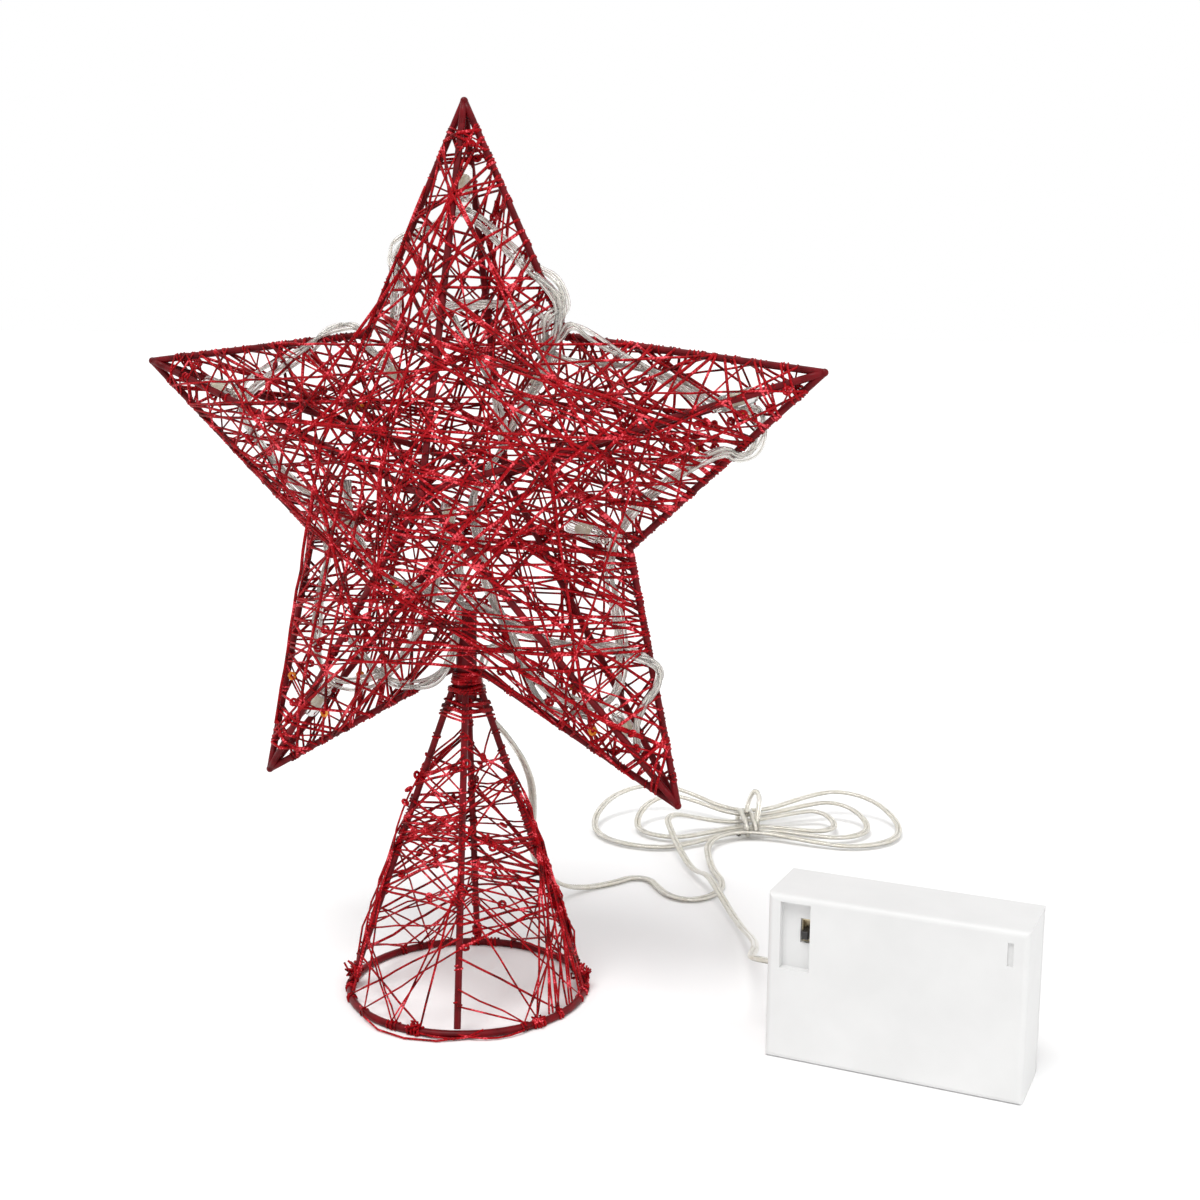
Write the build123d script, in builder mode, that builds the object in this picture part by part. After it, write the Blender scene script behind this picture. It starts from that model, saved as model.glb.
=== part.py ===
from build123d import *
import os
from math import asin, atan2, cos, degrees, hypot, radians, sin, sqrt, tan

# A wire star on a wire cone, webbed with thread and lit by a battery string.
# Millimetres. The star stands in the XZ plane and faces -Y. The ring under the cone is
# centred on the origin and stands on Z = 0. The battery case stands on the same floor.

# Shared clearances
seat_gap = 0.3
overrun = 1.0

# Star frame
first_arm_angle = 90.0
tip_radii = (104.0, 106.0, 110.0, 108.0, 106.0)
notch_radius = 51.0
apex_depth = 30.0
outline_wire = 2.0
rib_wire = 2.0
tip_weld_radius = 2.3
notch_weld_radius = 1.5
hub_radius = 2.4
bead_sides = 12
wire_sides = 12
bead_flat_share = 0.8
rib_tip_gap = 5.2

# Cone and neck
ring_radius = 34.5
ring_wire = 2.2
ring_sides = 6
leg_count = 4
leg_wire = 2.0
cone_height = 90.0
cone_turn = 18.0
neck_length = 9.0
post_diameter = 6.0
post_drop = 2.5
post_reach = 16.0
post_bevel = 1.5
binding_thread = 1.2
binding_pitch = 1.75
binding_turns = 1.5

# Thread webs
web_thread = 1.2
web_thickness = 1.0
valley_gap = 0.6
notch_cut = 5.0
neck_cut = 17.0
apex_cut = 5.0
least_gap_area = 2.0
cone_web_top = 17.0
cone_web_foot = 5.0
left_web_shares = (
    (0.22, 0.18), (0.34, 0.40), (0.52, 0.36), (0.56, 0.58), (0.86, 0.54), (0.84, 0.78),
)
right_web_shares = (
    (0.18, 0.22), (0.40, 0.34), (0.36, 0.52), (0.58, 0.56), (0.54, 0.86), (0.78, 0.84),
)
cone_web_shares = (
    (0.26, 0.34), (0.38, 0.28), (0.42, 0.52), (0.60, 0.46), (0.58, 0.70),
    (0.78, 0.62), (0.72, 0.98), (0.98, 0.74),
)

# Light string
harness_diameter = 2.2
lamp_diameter = 4.5
lamp_length = 12.8
lamp_collar = 3.0
lamp_collar_step = 0.5
lamp_nose = 1.6
lamp_nose_slope = 35.0
lamp_sides = 8
harness_out_radius = 77.0
harness_side_radius = 64.0
harness_side_share = 0.69
harness_in_radius = 42.0
harness_entry = [(2.0, 6.2, -1.6), (5.4, 2.8, 3.0), (14.0, 0.6, 5.0)]
harness_finish = [(-9.0, 0.4, 15.5), (-6.5, 0.0, 34.0)]
bend_share = 0.42

# Lead from the neck to the battery case
lead_diameter = 2.2
cord_sides = 4
lead_floor = lead_diameter / 2
lead_run_in = 11.0
grommet_run_in = 4.0
lead_rise = 1.0
lead_start = (2.0, 6.2, cone_height + lead_rise)
lead_points = [
    lead_start,
    (2.0, 6.2, 84.0),
    (8.0, 10.4, 76.0),
    (12.2, 19.5, 62.5),
    (8.6, 32.0, 47.0),
    (1.8, 47.0, 31.0),
    (-1.6, 63.5, 16.5),
    (0.6, 80.0, 5.0),
    (6.0, 92.0, lead_floor),
    (13.5, 100.5, lead_floor),
    (17.3, 108.0, lead_floor),
    (24.0, 108.3, lead_floor),
    (29.0, 101.0, lead_floor),
    (35.5, 93.2, lead_floor),
    (44.0, 92.0, lead_floor),
    (50.0, 100.0, lead_floor),
    (50.0, 113.0, lead_floor),
    (41.0, 127.0, 1.6),
]
tail_points = [
    (22.5, 170.0, 6.2),
    (17.5, 162.0, 9.0),
    (17.0, 153.5, 9.4),
    (21.0, 144.0, 9.0),
    (28.0, 131.0, 6.0),
    (37.0, 118.5, 2.2),
    (46.0, 104.0, 7.0),
    (53.0, 90.0, 7.0),
    (62.5, 75.0, 3.6),
    (70.0, 58.0, 6.0),
    (76.0, 41.0, 11.0),
    (81.0, 25.0, 15.5),
    (84.2, 10.0, 19.5),
    (85.3, -0.6, 21.4),
]

# Hank, tied at its waist
hank_x = 42.5
hank_y = 177.3
hank_height = 3.7
hank_turn = 18.0
hank_waist = 8.0
hank_step = 2.8
hank_start_angle = 50.0
lobe_lengths = (58.0, 58.0, 47.0, 42.0, 34.0)
lobe_radii = (21.0, 24.0, 14.0, 14.0, 8.0)
tie_turns = 2
tie_pitch = 3.4
tie_bend = 2.6

# Battery case
case_corner = (93.0, -15.3, 0.0)
case_turn = -6.0
case_wall = 1.8
case_front_wall = 1.6
case_edge_radius = 1.6
switch_bay = 11.0
partition_wall = 1.2
slide_gap = 0.3
cover_thickness = 2.0
groove_depth = 1.0
groove_width = 1.0
grip_count = 5
grip_pitch = 2.6
grip_width = 1.1
grip_height = 18.0
grip_depth = 0.5
grip_inset = 6.0
recess_left = 3.6
recess_width = 8.2
recess_height = 18.5
recess_top = 2.0
recess_depth = 2.4
recess_floor = 1.4
window_width = 3.0
window_height = 6.7
window_top = 6.6
window_right_inset = 0.3
vent_right = 4.0
vent_width = 1.5
vent_height = 6.2
vent_top = 3.4
vent_depth = 0.7
switch_width = 3.8
switch_height = 9.0
switch_depth = 3.6
knob_width = 1.8
knob_height = 2.2
knob_travel = 2.0
knob_below_tip = 1.2
knob_stem_depth = 1.5
knob_edge = 0.3
cell_count = 3
cell_diameter = 14.0
cell_length = 48.4
cell_gap = 0.2
cell_headroom = 3.8
cell_sides = 16
nub_diameter = 5.4
nub_height = 1.2
plate_thickness = 0.5
plate_width = 10.0
spring_wide = 8.0
spring_narrow = 7.0
spring_length = 1.6
spring_sides = 12
grommet_sides = 16
grommet_flange = 6.4
grommet_flange_length = 1.4
grommet_body = 4.2
grommet_height = 22.5

os.makedirs("parts", exist_ok=True)


def write(piece, name):
    """Label a finished piece and write it out."""
    piece.part.label = name
    export_step(piece.part, f"parts/{name}.step")


# Star geometry

arm_count = len(tip_radii)
arm_step = 360 / arm_count
neck_notch = arm_count // 2
notch_height = cone_height + neck_length
star_centre = Vector(0, 0, notch_height + notch_radius)
apex_offset = Vector(0, apex_depth, 0)
apexes = {"front": star_centre - apex_offset, "rear": star_centre + apex_offset}


def star_point(radius, angle):
    """A point in the star's middle plane."""
    return star_centre + Vector(radius * cos(radians(angle)), 0, radius * sin(radians(angle)))


arm_angles = [first_arm_angle + arm_step * arm for arm in range(arm_count)]
tips = [star_point(radius, angle) for radius, angle in zip(tip_radii, arm_angles)]
notches = [star_point(notch_radius, angle + arm_step / 2) for angle in arm_angles]


def along(start, end, distance):
    """The point at a distance from start towards end."""
    return start + (end - start).normalized() * distance


def make_rod(name, start, end, diameter):
    """A straight round wire, faceted."""
    with BuildPart() as rod:
        with BuildSketch(Plane(origin=start, z_dir=end - start)):
            RegularPolygon(diameter / 2, wire_sides)
        extrude(amount=(end - start).length)
    write(rod, name)


def make_beads(name, centres, radius):
    """Round weld beads, one solid each, flat to the front and the back."""
    with BuildPart() as beads:
        for centre in centres:
            with BuildSketch(Plane(origin=centre, z_dir=(0, 1, 0))):
                RegularPolygon(radius, bead_sides)
            extrude(amount=radius * bead_flat_share, both=True)
    write(beads, name)


# Frame wires of the star

def post_stand_off(tip, notch):
    """How far short of the neck an outline wire stops, so that it stays clear of the post."""
    slope = (tip - notch).normalized()
    half_width = outline_wire / 2 * abs(slope.Z)
    return (post_diameter / 2 + seat_gap + half_width) / abs(slope.X)


for arm in range(arm_count):
    for side, notch_index in (("left", arm), ("right", (arm - 1) % arm_count)):
        notch_stop = notch_weld_radius + seat_gap
        if notch_index == neck_notch:
            notch_stop = post_stand_off(tips[arm], notches[notch_index])
        wire_start = along(tips[arm], notches[notch_index], tip_weld_radius + seat_gap)
        wire_end = along(notches[notch_index], tips[arm], notch_stop)
        make_rod(f"outline_{side}_{arm + 1}", wire_start, wire_end, outline_wire)
    for face, apex in apexes.items():
        rib_start = along(tips[arm], apex, rib_tip_gap)
        rib_end = along(apex, tips[arm], hub_radius + seat_gap)
        make_rod(f"{face}_rib_{arm + 1}", rib_start, rib_end, rib_wire)

make_beads("tip_welds", tips, tip_weld_radius)
welded_notches = [notches[index] for index in range(arm_count) if index != neck_notch]
make_beads("notch_welds", welded_notches, notch_weld_radius)
make_beads("rib_hubs", list(apexes.values()), hub_radius)


# Neck post with a rounded top, and the thread bound round it

with BuildPart() as neck_post:
    with BuildSketch(Plane.XY.offset(cone_height - post_drop)):
        RegularPolygon(post_diameter / 2, wire_sides)
    extrude(amount=post_drop + neck_length + post_reach)
    chamfer(neck_post.faces().sort_by(Axis.Z)[-1].edges(), post_bevel)
write(neck_post, "neck_post")


def biarc_joint(start, start_tangent, end, end_tangent):
    """The point where two arcs that leave start and reach end join, and their tangent there."""
    chord = end - start
    blend = chord.dot(start_tangent + end_tangent)
    spread = 2 * (1 - start_tangent.dot(end_tangent))
    reach = (sqrt(blend * blend + spread * chord.dot(chord)) - blend) / spread
    first_knee = start + start_tangent * reach
    second_knee = end - end_tangent * reach
    return (first_knee + second_knee) / 2, (second_knee - first_knee).normalized()


def least_self_gap(path, step, skip, diameter):
    """The smallest clear distance between stretches of a tube that lie apart along its path."""
    count = int(path.length / step)
    points = [path.position_at(index / count) for index in range(count + 1)]
    apart = int(skip / step)
    return min(
        (points[first] - points[second]).length
        for first in range(count)
        for second in range(first + apart, count + 1)
    ) - diameter


binding_radius = post_diameter / 2 + seat_gap + binding_thread / 2
binding_base = cone_height + binding_thread
quarter = 90.0
quarter_count = int(binding_turns * 360 / quarter)
binding_rise = binding_pitch * quarter / 360
binding_climb = binding_pitch / radians(360) / binding_radius


def binding_point(index):
    """A point and a tangent of the neck binding, a quarter turn apart."""
    angle = radians(index * quarter)
    height = binding_base + index * binding_rise
    point = Vector(binding_radius * cos(angle), binding_radius * sin(angle), height)
    return point, Vector(-sin(angle), cos(angle), binding_climb).normalized()


with BuildPart() as neck_binding:
    with BuildLine() as binding_path:
        first_point, first_tangent = binding_point(0)
        lead_in = first_point - first_tangent * binding_thread
        Line(lead_in, first_point)
        for index in range(quarter_count):
            here, here_tangent = binding_point(index)
            there, there_tangent = binding_point(index + 1)
            joint, joint_tangent = biarc_joint(here, here_tangent, there, there_tangent)
            TangentArc(here, joint, tangent=here_tangent)
            TangentArc(joint, there, tangent=joint_tangent)
        Line(there, there + there_tangent * binding_thread)
    with BuildSketch(Plane(origin=lead_in, z_dir=first_tangent)):
        Rectangle(binding_thread, binding_thread)
    sweep(path=binding_path.wire())
write(neck_binding, "neck_binding")
binding_gap = least_self_gap(binding_path.wire(), binding_thread / 4, binding_radius * 3, binding_thread)
print("neck binding, least gap to itself", round(binding_gap, 2))


# Cone: ring and legs

ring_height = ring_wire / 2
with BuildPart() as base_ring:
    with BuildSketch(Plane.XZ):
        with Locations((ring_radius, ring_height)):
            RegularPolygon(ring_wire / 2, ring_sides, major_radius=False, rotation=180 / ring_sides)
    revolve(axis=Axis.Z)
write(base_ring, "base_ring")

leg_top_radius = post_diameter / 2 + seat_gap + leg_wire / 2
leg_angles = [cone_turn + index * 360 / leg_count for index in range(leg_count)]


def cone_point(radius, angle, height):
    """A point by its distance from the cone's axis, its direction and its height."""
    return Vector(radius * cos(radians(angle)), radius * sin(radians(angle)), height)


leg_tops = [cone_point(leg_top_radius, angle, cone_height) for angle in leg_angles]
leg_feet = [cone_point(ring_radius, angle, ring_height) for angle in leg_angles]
for index in range(leg_count):
    leg_end = along(leg_feet[index], leg_tops[index], ring_wire / 2 + seat_gap)
    make_rod(f"cone_leg_{index + 1}", leg_tops[index], leg_end, leg_wire)


# Thread webs: flat nets between the wires, each one holed face


def left_of(point, line):
    """Positive where a point lies to the left of a line given by two points."""
    (start_x, start_y), (end_x, end_y) = line
    return (end_x - start_x) * (point[1] - start_y) - (end_y - start_y) * (point[0] - start_x)


def between(start, end, share):
    """The point at a share of the way from start to end."""
    return tuple(a + share * (b - a) for a, b in zip(start, end))


def clip(cell, line):
    """The part of a convex outline to the left of a line."""
    kept = []
    for start, end in zip(cell, cell[1:] + cell[:1]):
        here = left_of(start, line)
        there = left_of(end, line)
        if here >= 0:
            kept.append(start)
        if here * there < 0:
            kept.append(between(start, end, here / (here - there)))
    return kept


def moved_left(line, distance):
    """A line moved to its left."""
    (start_x, start_y), (end_x, end_y) = line
    length = hypot(end_x - start_x, end_y - start_y)
    shift_x = -(end_y - start_y) / length * distance
    shift_y = (end_x - start_x) / length * distance
    return (start_x + shift_x, start_y + shift_y), (end_x + shift_x, end_y + shift_y)


def inset(cell, distances):
    """A convex outline with each side moved inwards by its own distance."""
    result = cell
    for start, end, distance in zip(cell, cell[1:] + cell[:1], distances):
        result = clip(result, moved_left((start, end), distance))
    return result


def cut_corner(outline, before, corner, after, distance):
    """Cut a corner off at a distance along the two sides that meet there."""
    start = between(corner, before, distance / hypot(corner[0] - before[0], corner[1] - before[1]))
    end = between(corner, after, distance / hypot(corner[0] - after[0], corner[1] - after[1]))
    return clip(outline, (start, end))


def area(cell):
    """The area of an outline."""
    return sum(a[0] * b[1] - b[0] * a[1] for a, b in zip(cell, cell[1:] + cell[:1])) / 2


def web_gaps(outline, threads):
    """The open gaps that straight threads leave inside an outline."""
    border = inset(outline, [web_thread / 2] * len(outline))
    cells = [border]
    for line in threads:
        pieces = [clip(cell, side) for cell in cells for side in (line, line[::-1])]
        cells = [piece for piece in pieces if len(piece) > 2 and area(piece) > 0]
    gaps = [inset(cell, [web_thread / 2] * len(cell)) for cell in cells]
    return [gap for gap in gaps if len(gap) > 2 and area(gap) > least_gap_area]


def make_web(name, nets):
    """Flat nets, given by their plane, outline and gaps, one solid each."""
    with BuildPart() as web:
        for plane, outline, gaps in nets:
            with BuildSketch(plane):
                with BuildLine():
                    Polyline(*outline, close=True)
                make_face()
                for gap in gaps:
                    with BuildLine():
                        Polyline(*gap, close=True)
                    make_face(mode=Mode.SUBTRACT)
            extrude(amount=web_thickness / 2, both=True)
    write(web, name)


def face_plane(corner, along_x, towards_y):
    """A plane with its origin at corner, its X along one edge and its Y towards a third point."""
    x_dir = along_x - corner
    return Plane(origin=corner, x_dir=x_dir, z_dir=x_dir.cross(towards_y - corner))


def arm_net(arm, notch_index, apex, shares):
    """One face of an arm: tip, apex and notch, inside its wires."""
    plane = face_plane(tips[arm], apex, notches[notch_index])
    tip = (0, 0)
    top = plane.to_local_coords(apex)
    notch = plane.to_local_coords(notches[notch_index])
    top = (top.X, 0)
    notch = (notch.X, notch.Y)
    side_gaps = (rib_wire / 2 + seat_gap, valley_gap, outline_wire / 2 + seat_gap)
    outline = inset([tip, top, notch], side_gaps)
    corner_cut = neck_cut if notch_index == neck_notch else notch_cut
    outline = cut_corner(outline, top, notch, tip, corner_cut)
    outline = cut_corner(outline, tip, top, notch, apex_cut)
    threads = [(between(tip, notch, edge), between(tip, top, rib)) for edge, rib in shares]
    return plane, outline, web_gaps(outline, threads)


for arm in range(arm_count):
    for face, apex in apexes.items():
        nets = [
            arm_net(arm, arm, apex, left_web_shares),
            arm_net(arm, (arm - 1) % arm_count, apex, right_web_shares),
        ]
        make_web(f"{face}_web_{arm + 1}", nets)


def cone_net(index):
    """One face of the cone, between two legs."""
    after = (index + 1) % leg_count
    plane = face_plane(leg_tops[index], leg_feet[index], leg_feet[after])
    corners = (leg_tops[index], leg_feet[index], leg_feet[after], leg_tops[after])
    flat = [plane.to_local_coords(corner) for corner in corners]
    quad = [(corner.X, corner.Y) for corner in flat]
    leg_gap = leg_wire / 2 + seat_gap
    outline = inset(quad, (leg_gap, cone_web_foot, leg_gap, cone_web_top))
    top, foot, next_foot, next_top = quad
    threads = [
        (between(top, foot, near), between(next_top, next_foot, far)) for near, far in cone_web_shares
    ]
    return plane, outline, web_gaps(outline, threads)


for index in range(leg_count):
    make_web(f"cone_web_{index + 1}", [cone_net(index)])


# Cords: straight runs joined by tangent arcs


def bend_radii(points):
    """The radius at each inner point: as large as its two runs allow."""
    radii = []
    for before, here, after in zip(points, points[1:], points[2:]):
        arriving = Vector(*here) - Vector(*before)
        leaving = Vector(*after) - Vector(*here)
        turn = radians(arriving.get_angle(leaving))
        radii.append(bend_share * min(arriving.length, leaving.length) / tan(turn / 2))
    return radii


def make_tube(name, points, diameter):
    """A tube along a route of points, with its volume compared with section times length."""
    radii = bend_radii(points)
    with BuildPart() as tube:
        with BuildLine() as route:
            FilletPolyline(*points, radius=radii)
        first_run = Vector(*points[1]) - Vector(*points[0])
        with BuildSketch(Plane(origin=points[0], z_dir=first_run)) as section:
            RegularPolygon(diameter / 2, cord_sides)
        sweep(path=route.wire())
    write(tube, name)
    length = route.wire().length
    expected = section.sketch.area * length
    print(name, "length", round(length, 1), "volume ratio", round(tube.part.volume / expected, 4))
    print(name, "radii", [round(radius, 1) for radius in radii])


# Light string: a lobe out into each arm, with a lamp at its end and one at each inner bend


def flat_point(radius, angle):
    """A harness point in the star's middle plane, as plain numbers."""
    return tuple(star_point(radius, angle))


def outline_angle(radius):
    """The angle between an arm's axis and its outline at a distance from the centre, on the shortest arm."""
    reach = min(tip_radii)
    half_step = radians(arm_step / 2)
    tip_half = atan2(notch_radius * sin(half_step), reach - notch_radius * cos(half_step))
    return degrees(asin(reach * sin(tip_half) / radius) - tip_half)


harness_side_angle = harness_side_share * outline_angle(harness_side_radius)
string_order = [(neck_notch + 1 + step) % arm_count for step in range(arm_count)]
string_angles = [arm_angles[arm] for arm in string_order]
harness_points = [lead_start] + [(x, y, notch_height + rise) for x, y, rise in harness_entry]
for place, angle in enumerate(string_angles):
    harness_points.append(flat_point(harness_side_radius, angle - harness_side_angle))
    harness_points.append(flat_point(harness_out_radius, angle))
    harness_points.append(flat_point(harness_side_radius, angle + harness_side_angle))
    if place < arm_count - 1:
        harness_points.append(flat_point(harness_in_radius, angle + arm_step / 2))
harness_points += [(x, y, notch_height + rise) for x, y, rise in harness_finish]
make_tube("led_harness", harness_points, harness_diameter)


def bend_depth(before, here, after):
    """How far the arc at a route's point passes inside that point."""
    arriving = here - before
    leaving = after - here
    turn = radians(arriving.get_angle(leaving))
    radius = bend_share * min(arriving.length, leaving.length) / tan(turn / 2)
    return radius * (1 / cos(turn / 2) - 1)


lamp_seat = harness_diameter / 2 + seat_gap
out_side = star_point(harness_side_radius, -harness_side_angle)
out_side_after = star_point(harness_side_radius, harness_side_angle)
out_depth = bend_depth(out_side, star_point(harness_out_radius, 0), out_side_after)
out_seat = harness_out_radius - out_depth + lamp_seat
in_side = star_point(harness_side_radius, harness_side_angle - arm_step / 2)
in_side_after = star_point(harness_side_radius, arm_step / 2 - harness_side_angle)
in_depth = bend_depth(in_side, star_point(harness_in_radius, 0), in_side_after)
in_seat = harness_in_radius + in_depth - lamp_seat
lamp_planes = []
for place, angle in enumerate(string_angles):
    outwards = star_point(1, angle) - star_centre
    lamp_planes.append(Plane(origin=star_point(out_seat, angle), z_dir=outwards))
    if place < arm_count - 1:
        inwards = star_centre - star_point(1, angle + arm_step / 2)
        lamp_planes.append(Plane(origin=star_point(in_seat, angle + arm_step / 2), z_dir=inwards))
end_point = Vector(*harness_points[-1])
end_run = (end_point - Vector(*harness_points[-2])).normalized()
lamp_planes.append(Plane(origin=end_point + end_run * seat_gap, z_dir=end_run))

lamp_radius = lamp_diameter / 2
lamp_side = lamp_length - lamp_nose
with BuildPart() as led_lamps:
    for plane in lamp_planes:
        with BuildSketch(plane):
            RegularPolygon(lamp_radius - lamp_collar_step, lamp_sides)
        extrude(amount=lamp_collar)
        with BuildSketch(plane.offset(lamp_collar)):
            RegularPolygon(lamp_radius, lamp_sides)
        extrude(amount=lamp_side - lamp_collar)
        with BuildSketch(plane.offset(lamp_side)):
            RegularPolygon(lamp_radius, lamp_sides)
        extrude(amount=lamp_nose, taper=lamp_nose_slope)
write(led_lamps, "led_lamps")


# Lead hank: loops drawn in at the waist, each quarter turn two tangent arcs

hank_centre = Vector(hank_x, hank_y, hank_height)
hank_along = Vector(cos(radians(hank_turn)), sin(radians(hank_turn)), 0)
hank_across = Vector(-sin(radians(hank_turn)), cos(radians(hank_turn)), 0)


def hank_point(far, wide):
    """A point of the hank from its distances along and across the hank."""
    return hank_centre + hank_along * far + hank_across * wide


def waist_at(index):
    """Half the waist's width where the cord crosses it for the given time."""
    return hank_waist - index * hank_step / 2


def waist_radius(length, radius, waist):
    """Radius of the arc that joins a lobe to its waist crossing."""
    return ((length - radius) ** 2 + waist ** 2 - radius ** 2) / (2 * (radius - waist))


def lobe_joint(length, radius, waist):
    """Where a lobe's arc meets its waist arc, along and across the hank."""
    bend = waist_radius(length, radius, waist)
    share = radius / (radius + bend)
    return (length - radius) * (1 - share), (waist + bend) * share


start_waist = waist_at(0)
outer_bend = waist_radius(lobe_lengths[1], lobe_radii[1], waist_at(2))
start_bend = outer_bend - (start_waist - waist_at(2))
start_turn = radians(hank_start_angle)
start_along = -start_bend * sin(start_turn)
start_across = -start_waist - start_bend * (1 - cos(start_turn))
hank_start = hank_point(start_along, start_across)
start_heading = hank_along * cos(start_turn) + hank_across * sin(start_turn)

with BuildPart() as lead_hank:
    with BuildLine() as hank_path:
        TangentArc(hank_start, hank_point(0, -start_waist), tangent=start_heading)
        for index, (length, radius) in enumerate(zip(lobe_lengths, lobe_radii)):
            way = 1 if index % 2 == 0 else -1
            waist_in = waist_at(index)
            waist_out = waist_at(index + 1)
            in_along, in_across = lobe_joint(length, radius, waist_in)
            out_along, out_across = lobe_joint(length, radius, waist_out)
            waist_start = hank_point(0, -way * waist_in)
            lobe_start = hank_point(way * in_along, -way * in_across)
            lobe_end = hank_point(way * out_along, way * out_across)
            waist_end = hank_point(0, way * waist_out)
            out_bend = waist_radius(length, radius, waist_out)
            out_centre = hank_point(0, way * (waist_out + out_bend))
            out_spoke = (lobe_end - out_centre).normalized()
            TangentArc(waist_start, lobe_start, tangent=hank_along * way)
            ThreePointArc(lobe_start, hank_point(way * length, 0), lobe_end)
            TangentArc(lobe_end, waist_end, tangent=out_spoke.cross(Vector(0, 0, 1)))
    with BuildSketch(Plane(origin=hank_start, z_dir=start_heading)):
        RegularPolygon(lead_diameter / 2, cord_sides)
    sweep(path=hank_path.wire())
write(lead_hank, "lead_hank")
hank_end = waist_end
hank_end_heading = hank_along * -way
hank_gap = least_self_gap(hank_path.wire(), lead_diameter, hank_waist * 4, lead_diameter)
print("hank length", round(hank_path.wire().length, 1), "least gap to itself", round(hank_gap, 2))

# The cord's own wraps round the hank's waist

tie_low = lead_diameter / 2
tie_high = 2 * hank_height - tie_low
tie_reach = hank_waist + lead_diameter / 2 + seat_gap + lead_diameter / 2
tie_offset = -tie_turns * tie_pitch / 2
below = Vector(0, 0, tie_low - hank_height)
above = Vector(0, 0, tie_high - hank_height)
tie_points = []
for turn in range(tie_turns):
    low_place = tie_offset + turn * tie_pitch
    high_place = low_place + tie_pitch / 2
    tie_points.append(hank_point(low_place, -tie_reach) + below)
    tie_points.append(hank_point(low_place, tie_reach) + below)
    tie_points.append(hank_point(high_place, tie_reach) + above)
    tie_points.append(hank_point(high_place, -tie_reach) + above)
tie_points = tie_points[1:-1]
with BuildPart() as hank_tie:
    with BuildLine() as tie_path:
        FilletPolyline(*tie_points, radius=tie_bend)
    with BuildSketch(Plane(origin=tie_points[0], z_dir=tie_points[1] - tie_points[0])):
        RegularPolygon(lead_diameter / 2, cord_sides)
    sweep(path=tie_path.wire())
write(hank_tie, "hank_tie")
tie_gap = least_self_gap(tie_path.wire(), lead_diameter / 2, 2 * tie_reach, lead_diameter)
print("tie, least gap to itself", round(tie_gap, 2))

# The free stretches of the lead

hank_approach = hank_start - start_heading * lead_run_in
make_tube("lead_to_hank", lead_points + [tuple(hank_approach), tuple(hank_start)], lead_diameter)

# Inside and outside of the case, from its cells

cell_pitch = cell_diameter + cell_gap
inner_height = cell_count * cell_pitch
case_height = inner_height + 2 * case_wall
cell_depth = case_front_wall + seat_gap + cell_diameter / 2
cover_low = cell_depth + cell_diameter / 2 + cell_headroom + slide_gap
case_depth = cover_low + cover_thickness
bay_start = case_wall + switch_bay + partition_wall
bay_length = cell_length + nub_height + spring_length + 2 * plate_thickness + 2 * seat_gap
bay_end = bay_start + bay_length
case_length = bay_end + case_wall
case_frame = Plane(
    origin=case_corner,
    x_dir=(cos(radians(case_turn)), sin(radians(case_turn)), 0),
    z_dir=(0, 0, 1),
)


def case_point(x, y, z):
    """A point of the battery case in the whole part's frame."""
    return case_frame.from_local_coords((x, y, z))


hank_leave = hank_end + hank_end_heading * lead_run_in
lead_end = case_point(-grommet_flange_length, case_depth / 2, grommet_height)
lead_square = case_point(-grommet_flange_length - grommet_run_in, case_depth / 2, grommet_height)
tail_route = [tuple(hank_end), tuple(hank_leave)] + tail_points + [tuple(lead_square), tuple(lead_end)]
make_tube("lead_to_box", tail_route, lead_diameter)


# Battery case, open at the back for its sliding cover

switch_seat = recess_depth + recess_floor
recess_base = case_height - recess_top - recess_height
window_left = recess_left + recess_width - window_right_inset - window_width
window_base = case_height - window_top - window_height
vent_left = case_length - vent_right - vent_width
vent_base = case_height - vent_top - vent_height
corner = (Align.MIN, Align.MIN)
case_end = Plane(origin=case_corner, x_dir=case_frame.y_dir, z_dir=case_frame.x_dir)

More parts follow.
